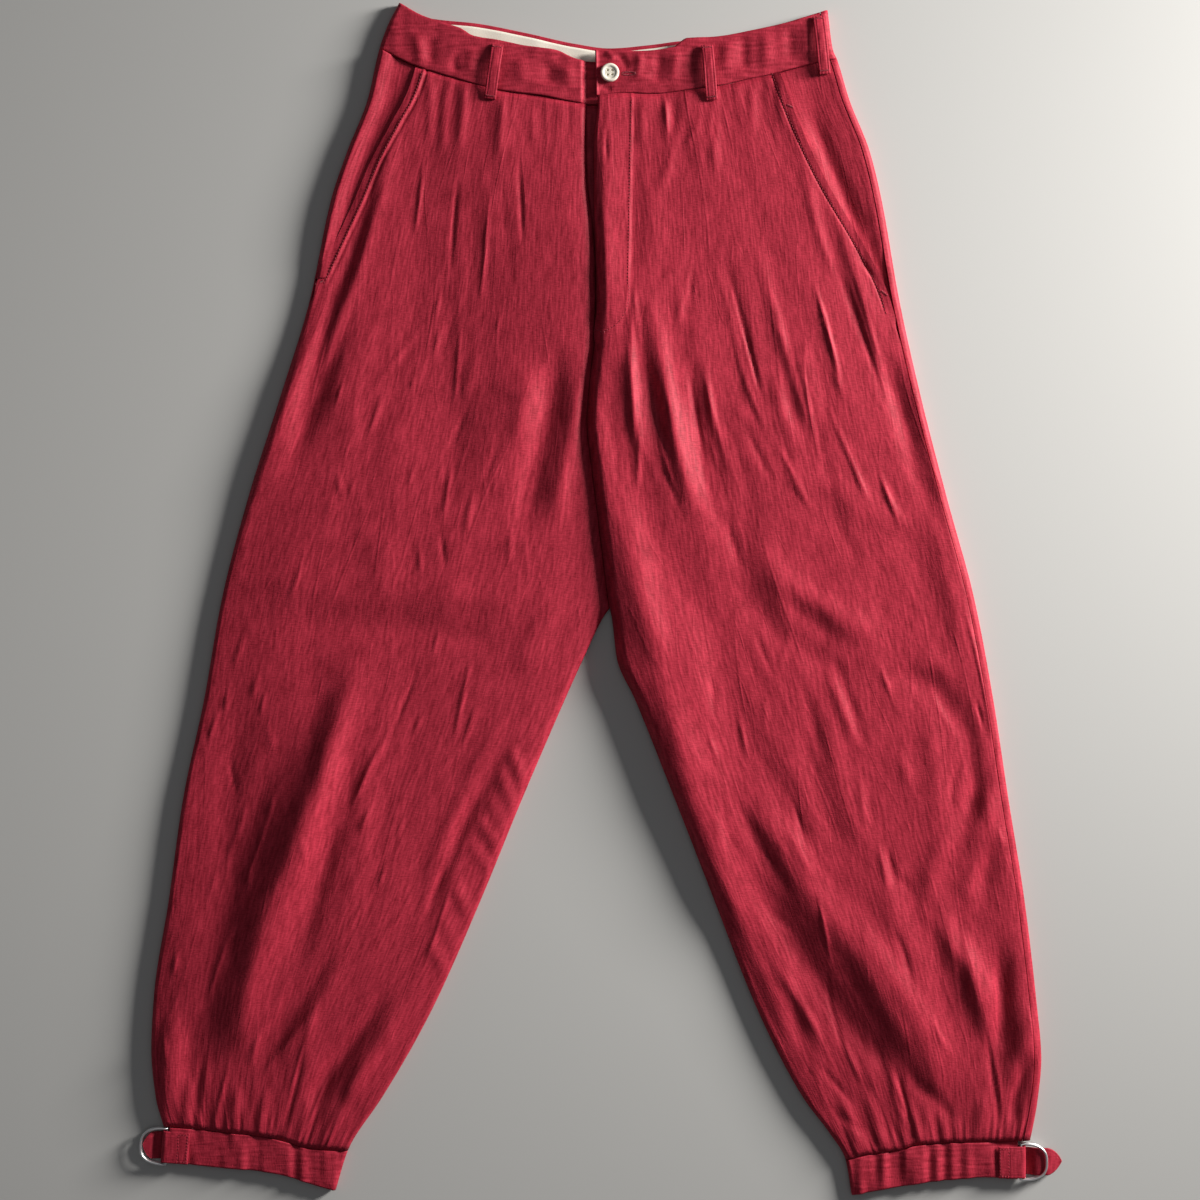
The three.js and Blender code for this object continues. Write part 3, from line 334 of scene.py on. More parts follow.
def crinkle(leg, x, y):
    """Sharp creases that run down the leg with the grain, and slanted ones that cross them."""
    seed = leg["seed"]
    grain = grain_line(leg, x, y)
    wander = 9 * noise(grain / 70, y / 110, seed) + 3.5 * noise(grain / 26, y / 42, seed + 1)
    grain = grain + wander
    patchy = 0.5 + 0.5 * noise(grain / 45, y / 80, seed + 2)
    wide = facets(grain / 24, y / 130, seed + 3)
    narrow = 0.7 * facets((grain + 3 * noise(grain / 9, y / 30, seed + 4)) / 8.5, y / 60, seed + 5)
    lean = 0.5 * facets((grain + 0.22 * y) / 15, y / 80, seed + 7)
    cross = 0.45 * facets((0.9 * grain - 0.42 * y) / 12, (y + 0.4 * grain) / 50, seed + 8)
    return wide + patchy ** 2 * narrow + lean + patchy ** 2 * cross


def fly_slant(y):
    """How far the fly's line leans out at a height."""
    return 0.02 * (y - 330)


def sewn_relief(leg, x, y):
    """Turned and topstitched edge of the slanted pocket, and the doubled cloth of the fly."""
    from_edge = leg["sign"] * (curve(leg["opening"], y) - x)
    beside_pocket = smooth((y - leg["opening"][-1][0] - 2) / 12) * (from_edge > -0.5)
    if leg["side"] == "right":
        turned = 0.8 * ridge(from_edge - 7.8, 1.2) - 0.6 * ridge(from_edge - 10.6, 1.5)
        return beside_pocket * turned
    turned = 1.3 * np.clip(1 - from_edge / 7.6, 0, 1) - 0.5 * ridge(from_edge - 8, 1.1)
    turn = np.clip((y - FLY_FOOT) / FLY_TURN, 0, 1)
    fly_line = FLY_WIDTH * np.sqrt(1 - (1 - turn) ** 2) + fly_slant(y)
    doubled = 0.5 * smooth((fly_line - x) / 2.6 + 0.5) + 3 * np.clip((fly_line - x) / 30, 0, 1)
    relief = beside_pocket * turned + doubled * smooth((y - FLY_FOOT) / 20)
    return relief + 0.4 * ridge(x - fly_line + 1.2, 1.4) * (y > FLY_FOOT)


def front_height(leg, x, y, creased=False):
    """Height of the garment's front above the floor, with or without its fine creases."""
    from_outer = np.maximum(0, leg["sign"] * (outer_edge(leg, y) - x))
    from_inner = np.maximum(0, leg["sign"] * (x - inner_edge(leg, y)))
    dome = (1 - np.exp(-from_outer / DOME_REACH)) * (1 - np.exp(-from_inner / DOME_REACH))
    below_waist = curve(leg["waist"], x) - y
    above_cuff = y - curve(leg["cuff"], x)
    in_cloth = smooth(below_waist / 14) * (0.35 + 0.65 * smooth(above_cuff / 16))
    clear = smooth(from_outer / EDGE_CLEAR) * smooth(from_inner / EDGE_CLEAR)
    z = SHOULDER + (curve(CROWN, y) - SHOULDER) * dome
    z += fold_height(leg["folds"], x, y) * in_cloth * clear
    if creased:
        seed, grain = leg["seed"], grain_line(leg, x, y)
        fine = fold_height(leg["creases"], x, y, ends=0.42) + crinkle(leg, x, y)
        gathers = np.exp(-above_cuff / GATHER_REACH) * facets(grain / 4.2, y / 30, seed + 9)
        tucks = np.exp(-np.abs(below_waist) / TUCK_REACH) * facets(x / 4.6, y / 40, seed + 10)
        fine += GATHER_HEIGHT * gathers + TUCK_HEIGHT * tucks
        fine += curve(leg["bank"], y) * ridge(from_inner - 11, 32)
        fine += curve(leg["side_bank"], y) * ridge(from_outer - 12, 18)
        z += fine * smooth(below_waist / 6) * smooth(above_cuff / 6) * clear ** 0.5
        for from_sewing in (below_waist, above_cuff):
            z -= SEAM_DENT * np.exp(-np.abs(from_sewing) / DENT_WIDTH)
        z += sewn_relief(leg, x, y)
    z -= (z - EDGE_HEIGHT) * (1 - roll(from_outer / EDGE_RADIUS))
    level = curve(leg["inner_height"], y)
    return z - (z - level) * (1 - roll(from_inner / curve(leg["inner_roll"], y)))


def solve(u, v, column, top, bottom):
    """Where a patch's place (u, v) lies, from the line of its column and its top and bottom."""
    y = np.zeros_like(u)
    for _ in range(16):
        x = column(u, y)
        y = top(x) * (1 - v) + bottom(x) * v
    return x, y


def rolled_column(leg, u, inner, outer, inner_roll, strip=EDGE_RADIUS):
    """Columns from an inner to an outer edge, dense where the cloth rolls over at both."""
    sign = leg["sign"]
    near, far = 0.06, 0.0133 * strip
    start, end = inner + sign * inner_roll, outer - sign * strip
    middle = start + (end - start) * np.clip((u - near) / (1 - near - far), 0, 1)
    first = inner + sign * inner_roll * (1 - np.cos(np.clip(u / near, 0, 1) * math.pi / 2))
    last = outer - sign * strip * (1 - np.sin(np.clip((u - 1 + far) / far, 0, 1) * math.pi / 2))
    return np.where(u < near, first, np.where(u > 1 - far, last, middle))


def cloth_piece(name, across, down, place, thickness, up=True, probe=0.5):
    """A sheet of quads with a wall behind it. place(u, v) gives, in millimetres, where each point
    lies and where it was on the flat cloth. The sheet faces up or down at the column probe."""
    bm = bmesh.new()
    bmesh.ops.create_grid(bm, x_segments=across, y_segments=down, size=0.5)
    spots = np.array([vertex.co[:2] for vertex in bm.verts])
    u, v = spots[:, 0] + 0.5, 0.5 - spots[:, 1]
    target = Vector((probe - 0.5, 0, 0))
    chosen = min(bm.faces, key=lambda face: (face.calc_center_median() - target).length)
    x, y, z, cut_x, cut_y = place(u, v)
    for vertex, spot in zip(bm.verts, np.stack([x, y, z], axis=1) / 1000):
        vertex.co = spot
    bm.normal_update()
    if (chosen.normal.z > 0) != up:
        bmesh.ops.reverse_faces(bm, faces=bm.faces)
    piece = finished(bm, name)
    cut = piece.data.uv_layers.new(name="cut")
    corners = np.zeros(len(piece.data.loops), int)
    piece.data.loops.foreach_get("vertex_index", corners)
    flat = np.stack([cut_x, cut_y], axis=1)[corners] / 1000
    cut.data.foreach_set("uv", flat.ravel())
    wall = piece.modifiers.new("wall", "SOLIDIFY")
    wall.thickness = thickness / 1000
    wall.offset = -1
    return piece


def add_node(material, kind, inputs, output=0, **settings):
    """One output of a new node."""
    node = material.node_tree.nodes.new("ShaderNode" + kind)
    for name, value in settings.items():
        setattr(node, name, value)
    set_inputs(node, inputs)
    return node.outputs[output]


def tint(material, factor, dark, light, start=0, end=1):
    """A colour that goes from dark to light as the factor goes from start to end."""
    colour = add_node(material, "ValToRGB", {"Fac": factor})
    low, high = colour.node.color_ramp.elements
    low.position, low.color = start, (*dark, 1)
    high.position, high.color = end, (*light, 1)
    return colour


# The linen has uneven threads down the grain, slubs across it, a fine weave and thin crinkles.
linen, shader = new_material("crimson_linen", {
    "Roughness": 0.58, "Specular IOR Level": 0.16, "Sheen Weight": 0.03, "Sheen Roughness": 0.4,
    "Sheen Tint": (1.0, 0.3, 0.35, 1)})
flat_cloth = add_node(linen, "UVMap", {}, uv_map="cut")


def streaks(scale, detail):
    stretch = add_node(linen, "Mapping", {"Vector": flat_cloth, "Scale": scale})
    return add_node(linen, "TexNoise", {"Vector": stretch, "Scale": 1, "Detail": detail})


def blend(low, high, factor):
    return add_node(linen, "Mix", {"Factor": factor, "A": low, "B": high}, data_type="FLOAT")


def thin_lines(scale, width):
    """Thin creases along the level lines of a noise, fading in and out by a second noise."""
    away = add_node(linen, "Math", {0: streaks(scale, 0.0), 1: 0.5}, operation="SUBTRACT")
    apart = add_node(linen, "Math", {0: away}, operation="ABSOLUTE")
    line = add_node(linen, "MapRange", {
        "Value": apart, "From Max": width, "To Min": 1, "To Max": 0},
        interpolation_type="SMOOTHSTEP")
    patches = streaks((scale[1] * 3, scale[1] * 1.6, 9), 1.0)
    patch = add_node(linen, "MapRange", {
        "Value": patches, "From Min": 0.42, "From Max": 0.66},
        interpolation_type="SMOOTHSTEP")
    return add_node(linen, "Math", {0: line, 1: patch}, operation="MULTIPLY")


tone = blend(streaks((430, 60, 60), 5.0), streaks((230, 900, 230), 4.0), 0.4)
ridges = blend(thin_lines((34, 4.5, 4.5), 0.03), thin_lines((52, 11, 11), 0.03), 0.35)
crease = add_node(linen, "Bump", {"Strength": 0.28, "Distance": 0.0009, "Height": ridges})
weave = add_node(linen, "Bump",
                 {"Strength": 0.8, "Distance": 0.0006, "Height": tone, "Normal": crease})
crimson = tint(linen, tone, (0.225, 0.008, 0.020), (0.49, 0.031, 0.060), 0.34, 0.64)
set_inputs(shader, {"Base Color": crimson, "Normal": weave})


def stand_in(piece, node, material=linen):
    """Dress a piece, and let it stand for its solid on the garment's one body."""
    piece.data.materials.append(material)
    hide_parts(node)
    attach(piece, "root")


def front_panel(leg):
    """The front of one leg, from waist seam to cuff and from centre front to pocket and side."""
    side, sign = leg["side"], leg["sign"]

    def column(u, y):
        inner = inner_edge(leg, y) + sign * SEAM_GAP * (y > CROTCH_Y)
        roll_in = curve(leg["inner_roll"], y)
        return rolled_column(leg, u, inner, front_limit(leg, y), roll_in, strip=FRONT_ROLL)

    def place(u, v):
        x, y = solve(u, v, column, lambda x: curve(leg["waist"], x) - SEAM_GAP,
                     lambda x: curve(leg["cuff"], x) + SEAM_GAP)
        return x, y, front_height(leg, x, y, creased=True), grain_line(leg, x, y), y

    panel = cloth_piece(f"front_of_{side}_leg", 240, 185, place, LINEN_THICKNESS)
    stand_in(panel, f"front_{side}_leg")


front_panel(right)


# Front of the wearer's left leg, at the image's right, of the same linen. Its fly edge laps over
# the right front, and its side seam lies on top, 7 mm in from the outer edge.
left = {
    "side": "left",
    "sign": 1,
    "seam": 7.3,
    "seed": 47,
    "outer": [(501, 193), (468, 197.5), (460, 201), (425, 211.7), (382, 228.7), (340, 239),
              (255, 254), (170, 273), (85, 295), (0, 318), (-85, 334), (-170, 347), (-255, 360.5),
              (-340, 370.6), (-392, 375), (-425, 372), (-460, 365.5), (-495, 356)],
    "opening": [(454, 150), (421, 161.5), (385, 176.8), (354, 192), (301, 222.7), (263, 242.3),
                (240, 250)],
    "fly": [(501, -4.3), (423, -2.8), (386, -6), (340, -6), (295, -4.3), (255, -3.4), (223, -6),
            (217, -5.3)],
    "inseam": [(-7.2, 7.4), (-17, 9.4), (-51, 13.6), (-85, 28.9), (-170, 62.9), (-255, 96),
               (-340, 129.2), (-383, 149.2), (-425, 172.6), (-455, 195), (-476, 208),
               (-507, 213.5)],
    "top": [(-4, 467.1), (32, 466.2), (61, 469.6), (73, 477.3), (96, 478.5), (131, 484.5),
            (156, 490), (193, 501.5)],
    "waist": [(-4, 428.4), (20, 430.5), (42.5, 429.7), (79, 433.9), (99, 436.5), (122, 441.6),
              (146, 446.7), (172, 453.5), (201.5, 460.3)],
    "cuff": [(208, -477), (225, -472.6), (256, -467.9), (266, -464.5), (295, -462), (336, -461.1),
             (365, -460.3)],
    "hem": [(213.5, -507), (250, -500.2), (290, -494.3), (331, -491.7), (354, -493.4)],
    "inner_height": [(508, 10.2), (230, 10.4), (217, 9.2), (187, 7), (110, 5.4), (0, 4.7),
                     (-20, 4.5), (-508, 4.5)],
    "inner_roll": [(508, 3), (230, 3), (151, 7), (34, 8), (-7, 7), (-60, 6), (-508, 5)],
    "bank": [(508, 0), (330, 1), (250, 4.8), (120, 6), (0, 6.6), (-110, 6.6), (-230, 4.6),
             (-330, 0.6), (-508, 0)],
    "side_bank": [(508, 0), (190, 0), (90, 2.6), (-300, 3), (-400, 1.5), (-440, 0), (-508, 0)],
    "grain": [(508, 0), (200, 0), (80, 6), (-20, 20), (-120, 48), (-255, 98), (-383, 155),
              (-508, 218)],
}
left["folds"] = [
    (3, 425, 2, 246, 1.3, 9, 1.4), (33, 408, 30, 263, 0, 9, -0.9), (38, 276, 91, 38, -5.6, 9, 3),
    (18, 233, 42, 102, -2.2, 7, 2), (37, 212, 57, 110, -1.3, 6, -1.5),
    (74, 221, 103, 68, -2.6, 9, -1.8), (14, 110, 57, -85, -1.7, 14, 3.2),
    (46, -43, 118, -277, -5.1, 12, 2.4), (94, 34, 125, -170, -4.3, 17, -1.8),
    (120, 51, 227, -45, -5.2, 13, 2.2), (101, 21, 220, -77, -5.3, 12, -1.5),
    (144, 114, 280, 51, 2.2, 13, 1.2), (167, 229, 178, 136, 0, 9, 1.5),
    (235, 229, 286, 51, -0.7, 9, -2.6), (258, 229, 315, -9, -2.4, 5, 1.2),
    (169, 429, 224, 297, 2.4, 7, -2.6), (174, 369, 201, 267, -4.2, 5, 1.4),
    (196, 335, 237, 225, -1.4, 5, 1.4), (132, 306, 161, 195, -2.7, 6, 1.3),
    (103, 301, 128, 195, -0.2, 6, -1.2), (125, -153, 230, -317, -9, 15, 4.2),
    (203, -277, 307, -430, 2.8, 17, 4.6), (118, -213, 258, -419, -7.1, 13, -3.2),
    (312, -183, 298, -306, -27.3, 9, 2.6), (288, -277, 331, -391, 8.7, 9, 2.6),
    (341, -285, 339, -404, 2.6, 8, -2.8), (365, -340, 346, -413, 7.9, 6, 2),
    (368, -383, 353, -455, -6.3, 6, -2.8), (190, -77, 230, -223, -6.9, 9, 1.5),
    (169, -77, 212, -230, -8.1, 8, -1.3), (273, -85, 286, -204, 3.4, 9, 1.5),
    (305, -77, 318, -200, 4, 8, -1.8), (88, -209, 169, -383, 1, 8, 2),
    (114, -255, 188, -408, -0.8, 7, -1.6), (248, -393, 288, -468, -11, 5, 1.8),
    (258, -404, 305, -447, 1.4, 5, -1.8), (224, -481, 203, -417, -0.2, 5, 1.6),
    (243, -478, 225, -413, -0.1, 5, 1.5), (280, -471, 275, -430, -0.4, 5, 1.3),
    (318, -471, 326, -417, -0.4, 5, 1.5), (356, -470, 358, -421, 0, 5, 1.3),
    (268, -471, 249, -391, -0.2, 3.5, -1.4), (341, -459, 326, -362, -1, 3.5, -1.4),
    (54, 438, 57, 382, 0.1, 4, 1), (71, 425, 43, 331, 2.4, 4, 1), (100, 443, 98, 352, -3, 4, 1.1),
    (127, 448, 130, 397, 0.1, 4, 1), (150, 453, 156, 397, -0.4, 4, 0.9),
    (33, 435, 35, 382, 0, 4, 0.9),
]
left["creases"] = [
    (4, 440, 2, 60, 0, 62, 2), (196, 400, 262, 130, 0, 24, 1.5), (60, 40, 130, -260, 0, 34, 2.5),
    (24, 228, 29, 124, 0, 4, 1.5), (46, 198, 54, 131, 0, 6, -0.9), (50, 222, 78, 73, -3, 8, 0.9),
    (73, 203, 90, 105, 0, 2, -1.1), (54, 428, 57, 395, 0, 1.8, 1.1),
    (50, 357, 68, 378, 0, 1.8, 1.1), (68, 378, 86, 409, 0, 1.8, 1.1),
    (98, 424, 94, 382, 0, 2.1, -1.1), (4, 400, 5, 367, 0, 1.8, -1.1),
    (120, 235, 139, 158, 0, 2, -1.1), (154, 187, 168, 140, 0, 6, -0.9),
    (17, 213, 19, 95, -9.9, 6, -0.9), (26, 276, 33, 91, -3.4, 3.5, 1.2),
    (43, 208, 52, 125, 0, 7, -1.1), (52, 243, 84, 59, -8.5, 6, 1.1),
    (78, 215, 116, 29, -12.5, 5, -1.1), (105, 286, 139, 158, 1.1, 2.3, -1.1),
    (98, 283, 134, 154, 0.2, 3.5, 0.8), (75, 293, 41, 258, 0.6, 2.5, 1.1),
    (87, 290, 77, 247, -5, 2, -1.1), (136, 293, 186, 118, -3, 4, 1.3),
    (152, 211, 162, 136, 0, 7, -0.8), (180, 274, 205, 172, 0.6, 1.9, 1.1),
    (195, 293, 246, 158, 2.1, 3.4, -1.4), (211, 290, 246, 161, 0.8, 2.5, 1.1),
    (216, 293, 236, 268, 0, 2, -1.1), (245, 200, 272, 111, 0, 6, -1),
    (173, 211, 186, 136, 2.7, 5, 0.6), (87, 200, 98, 125, 0, 2.1, 1.1),
    (94, 129, 109, 65, 0, 2.3, -1.1), (116, 158, 148, 95, 0, 2.5, -1.05),
    (146, 136, 180, 75, 0, 1.9, 1.1), (50, 118, 69, 72, 0, 2.3, -1.1),
    (34, 161, 30, 82, 0, 1.9, 1.05), (212, 115, 229, 81, 0, 1.9, 1.1),
    (236, 116, 271, 52, -7, 2, 1.1), (105, 75, 119, 22, 0, 4, -1.4),
    (196, 197, 205, 174, 0, 1.9, 1.05), (68, 265, 66, 229, 0, 4, 1),
    (143, 6, 213, -46, 4.5, 9, -2.4), (161, 13, 245, -37, -2, 11, 2.2),
    (238, -59, 310, -127, 17.8, 10, -2.2), (263, -42, 306, -69, 0, 10, 1.6),
    (234, -53, 249, -87, 0, 1.9, 1.1), (274, -69, 306, -127, 0, 1.8, 0.9),
    (106, -153, 170, -262, -3.2, 7, -2.4), (90, -159, 107, -225, 0, 5, 1.2),
    (152, -184, 184, -243, 0, 7, 1.8), (217, -144, 225, -196, 0, 4, 1.3),
    (120, -245, 193, -196, 11.6, 1.9, -1.1), (161, -229, 193, -202, 0, 1.8, 1.05),
    (163, -169, 174, -207, 0, 2, -1.1), (213, -132, 242, -109, 0, 1.8, 0.75),
    (234, -203, 245, -252, 0, 2.5, 1.1), (242, -205, 251, -248, 0, 2.5, -1.1),
    (243, -232, 268, -248, 0, 1.8, -1.05), (129, -23, 146, -66, 0, 2.1, -1.1),
    (163, -26, 146, -68, 0, 2, 1.05), (116, -94, 125, -137, 0, 1.9, 1.1),
    (140, -80, 138, -105, 0, 1.8, 0.9), (95, -59, 95, -101, 0, 2.1, -1.1),
    (90, -112, 100, -139, 0, 2, 1.05), (186, -46, 220, -135, 0.4, 4.5, 1.3),
    (195, -42, 227, -134, 0.7, 4.5, -1.2), (168, -64, 195, -155, -0.2, 5, -1.1),
    (304, 6, 335, -144, 3.7, 2.1, 1.1), (317, -84, 326, -112, 0, 1.8, -1.05),
    (317, -121, 297, -180, -6.4, 2.5, -1.1), (333, -135, 301, -203, -1.5, 8, -2.2),
    (335, -155, 306, -223, 2.3, 8, 2.2), (335, -195, 344, -212, 0, 2, 1.1),
    (338, -202, 322, -262, -4.9, 8, -2.2), (252, -123, 263, -166, 0, 5, 0.9),
    (196, -259, 286, -417, -4.4, 11, 3), (333, -289, 337, -386, 4.1, 6, -2),
    (359, -333, 340, -408, 8.1, 6, 2), (363, -381, 350, -408, 0, 5, -1.6),
    (307, -277, 328, -370, -3, 6, 2.2), (291, -245, 305, -339, -1.2, 7, 1.8),
    (275, -238, 286, -302, 0, 6, -1.5), (184, -243, 197, -314, -1.4, 2, 1.1),
    (249, -396, 288, -462, -13.1, 2.5, -1.1), (256, -395, 295, -425, -3.2, 4, -1.4),
    (263, -405, 286, -420, 0, 3.5, 1.2), (135, -260, 169, -284, 0, 2, -1.1),
    (135, -294, 202, -403, 3.5, 3.5, 1.1), (243, -272, 263, -336, 4.7, 2.5, -1.1),
    (278, -346, 300, -390, -3, 2, 1.1), (181, -393, 174, -408, 0, 2, -1.1),
    (182, -391, 216, -432, 0, 2.5, -1.1), (201, -366, 223, -413, 0, 2.5, 1.1),
    (191, -306, 216, -400, -6.1, 2.5, -1.1), (191, -430, 229, -457, 0, 3.4, -1),
    (159, -333, 177, -383, 0, 6, -1.6), (229, -366, 243, -400, 0, 6, -1),
    (212, -210, 296, -395, 8, 18, 3.6), (40, 250, 96, -10, -6, 16, 1.3),
    (20, 60, 90, -190, 2, 20, 2.8), (170, 330, 215, 120, -3, 16, 1.1),
    (248, -395, 268, -464, 1, 1.8, -1.1), (329, -366, 343, -452, 1, 1.8, 1.1),
    (190, -236, 300, -406, 3, 11, 3.4), (338, -190, 304, -272, -4, 8, 2.2),
    (304, -272, 346, -372, -3, 9, 2.6), (48, 215, 66, 20, -6, 16, 2),
    (76, 262, 92, 140, 3, 14, 1.4), (60, 20, 96, -130, -3, 15, 2),
    (146, 208, 158, 118, 2, 10, 1.4), (106, 278, 139, 153, 0, 1.8, 1.1),
    (111, 226, 147, 132, -4, 1.8, 1), (178, 274, 206, 173, 1.5, 1.7, 1.1),
    (167, 212, 186, 116, 0, 1.7, 1), (210, 274, 247, 155, 0, 1.8, 1.1),
    (189, 170, 228, 83, 0, 1.7, 1), (153, 113, 180, 75, 0, 1.6, 0.9),
    (87, 202, 109, 108, -2, 1.8, 1.1), (26, 276, 33, 215, 0, 1.6, 0.9),
    (41, 163, 67, 75, 0, 1.8, 1), (93, 132, 109, 65, 0, 1.7, 1), (235, 108, 258, 51, 0, 1.7, 1),
    (103, 301, 128, 195, -0.2, 6, 0.7), (132, 306, 161, 195, -2.7, 6, -0.6),
    (196, 335, 237, 225, -1.4, 5, -0.5),
]

front_panel(left)


# Backs of the legs, of the same linen. They lie flat on the floor, turn up at the inseam and at
# the side, and the left one comes over the top edge to its seam.
BACK_WAIST = [(-189, 468.5), (-120, 447), (-60, 435), (7, 430), (80, 436), (146, 448),
              (201.5, 460.3)]


def under_inner(leg, y):
    return np.where(y > CROTCH_Y, CROTCH_X, curve(leg["inseam"], y))


def under_roll(leg, y):
    return curve(leg["inner_roll"], np.minimum(y, -60))


def under_height(leg, x, y):
    from_outer = leg["sign"] * (outer_edge(leg, y) - x)
    from_inner = leg["sign"] * (x - under_inner(leg, y))
    z = EDGE_HEIGHT * (1 - roll(from_outer / EDGE_RADIUS))
    turned_up = 1 - roll(from_inner / under_roll(leg, y))
    z += EDGE_HEIGHT * smooth((CROTCH_Y + 30 - y) / 30) * turned_up
    if not leg["seam"]:
        z -= SEAM_GAP * (1 - roll(from_outer / EDGE_RADIUS))
    z -= SEAM_GAP * (1 - roll(from_inner / EDGE_RADIUS)) * (y < CROTCH_Y)
    return np.maximum(z, 0)


def under_place(leg, u, v, top, bottom, gap):
    """Places on the underside, with a gap at the inner edge, and past the outer edge on over the
    top as far as the side seam."""
    sign = leg["sign"]
    share = 0.8 if leg["seam"] else 1.0
    over = (leg["seam"] - 0.6) * np.clip((u - share) / max(1 - share, 0.01), 0, 1) ** 1.6

    def column(u, y):
        inner = under_inner(leg, y) + sign * gap
        outer, roll_in = outer_edge(leg, y), under_roll(leg, y)
        return rolled_column(leg, np.minimum(u / share, 1), inner, outer, roll_in) - sign * over

    x, y = solve(u, v, column, top, bottom)
    above = front_height(leg, outer_edge(leg, y) - sign * over, y)
    return x, y, np.where(over > 0, above, under_height(leg, x, y))


def back_panel(name, leg):
    def place(u, v):
        x, y, z = under_place(leg, u, v, lambda x: curve(BACK_WAIST, x) - 3 * SEAM_GAP,
                              lambda x: curve(leg["cuff"], x) + SEAM_GAP, SEAM_GAP)
        return x, y, z, grain_line(leg, x, y), y

    return cloth_piece(name, 80, 150, place, LINEN_THICKNESS, up=False)


for side, leg, area in (("right", right, 0.243), ("left", left, 0.247)):
    back = back_panel(f"back_of_{side}_leg", leg)
    stand_in(back, f"back_{side}_leg")


# Pocket facings: the hip pieces seen behind the slanted openings, 2 mm below the opening's edge
# and level with the front again at the side seam.
FACING_UNDERLAP, FACING_DROP = 9, 2.3


def facing_panel(name, leg):
    sign = leg["sign"]

    def place(u, v):
        def column(u, y):
            start = curve(leg["opening"], y) - sign * FACING_UNDERLAP
            return start + (side_seam(leg, y) - start) * np.sin(u * math.pi / 2)

        foot = leg["opening"][-1][0] + 6
        x, y = solve(u, v, column, lambda x: curve(leg["waist"], x) - SEAM_GAP,
                     lambda x: foot + 0 * x)
        from_seam = sign * (side_seam(leg, y) - x)
        visible = sign * (side_seam(leg, y) - curve(leg["opening"], y))
        near = np.maximum(6, 0.75 * visible) if leg["seam"] else 0.75 * visible + 0.01
        reached = smooth((visible - 4) / 14) if leg["seam"] else 1.0
        drop = FACING_DROP * (1 - (1 - smooth(from_seam / near)) * reached)
        wrinkles = 0.7 * crinkle(leg, x, y) * smooth(from_seam / 8) * smooth((450 - y) / 12)
        hip = 2.6 * ridge(from_seam - 5, 8) * smooth(from_seam / 5) if sign < 0 else 0
        return x, y, front_height(leg, x, y) - drop + wrinkles + hip, grain_line(leg, x, y), y

    return cloth_piece(name, 44, 110, place, LINEN_THICKNESS)


for side, leg, flat, area in (("right", right, (0.05, 0.2), 0.0068),
                              ("left", left, (0.06, 0.215), 0.008)):
    facing = facing_panel(f"facing_of_{side}_pocket", leg)
    stand_in(facing, f"pocket_facing_{side}")


# Fly extension: the strip of linen that shows in the dark gap beside the overlapping left front.
# It joins the right front's edge and lies below the left one.
EXTENSION_TOP, EXTENSION_FOOT, EXTENSION_END = 420.5, 240, 6


def fly_place(u, v):
    y = EXTENSION_TOP + (EXTENSION_FOOT - EXTENSION_TOP) * v
    start = inner_edge(right, y) + SEAM_GAP
    x = start + (EXTENSION_END - start) * u
    return x, y, curve(right["inner_height"], y) + 0.2 * noise(x / 4, y / 30, 5), x, y


extension = cloth_piece("fly_extension", 10, 60, fly_place, LINEN_THICKNESS)
stand_in(extension, "fly_shield")


# Waistband, 40 mm high, of doubled linen. Its two fronts overlap at the button, and its back
# shows only from behind and as the rim of the waist's mouth.
BAND_THICKNESS = 1.6
BAND_END = 6.0  # where the right band ends, under the left one
BACK_TOP = [(-172, 508), (-144.5, 495.5), (-106, 491.3), (-64, 483.2), (-21.6, 473.9), (7, 470.1),
            (42.5, 473), (67, 476.2), (96, 478), (156, 489.5), (193, 501.5)]
BAND_FOLDS = [
    (-157, 485, -152, 452, 0, 5, 1.3), (-146, 482, -144, 452, 0, 5, -1.2),
    (-122, 466, -120, 446, -4, 4, -1.2), (-108, 470, -112, 446, 0, 5, 1),
    (-70, 462, -66, 436, 0, 6, 1.1), (-45, 458, -44, 436, 0, 7, -1.8),
    (-29, 456, -27, 432, 0, 6, 1.6), (3, 466, 12, 458, 1, 2.6, 1.1),
    (14, 464, 23, 449, 1, 3, -1.3), (32, 468, 29, 440, 2, 4, 1.4), (20, 440, 44, 447, 0, 3, 0.9),
    (-1, 437, 10, 433, 0, 2.4, -0.9), (50, 466, 47, 436, 0, 5, -1.3),
    (64, 470, 61, 438, 0, 5, 1.3), (78, 474, 76, 440, 0, 4, -1.1), (108, 478, 106, 444, 0, 6, 1.3),
    (122, 480, 121, 446, 0, 5, -1.1), (140, 484, 141, 450, 0, 7, 1.2),
    (160, 488, 162, 456, 0, 5, -1.1), (174, 492, 174, 460, 0, 4, 1),
]


def band_height(leg, x, y):
    """The waistband's surface, a little proud of the leg, turned down at its two long edges."""
    below_top = np.maximum(curve(leg["top"], x) - y, 0)
    above_seam = np.maximum(y - curve(leg["waist"], x), 0)
    seed = leg["seed"]
    pucker = 0.3 * noise(x / 7, y / 16, seed + 20) + 0.9 * noise(x / 24, y / 34, seed + 21)
    pucker = pucker + fold_height(BAND_FOLDS, x, y)
    edges = 0.55 * np.exp(-below_top / 0.9) + 0.5 * np.exp(-above_seam / 0.8)
    from_outer = leg["sign"] * (outer_edge(leg, y) - x)
    z = front_height(leg, x, y) + (0.3 + pucker) * smooth(from_outer / 6) - edges
    if leg["side"] == "right":  # it sinks under the left one
        z -= (z - 5) * smooth((x + 17) / 4.5)
    return z


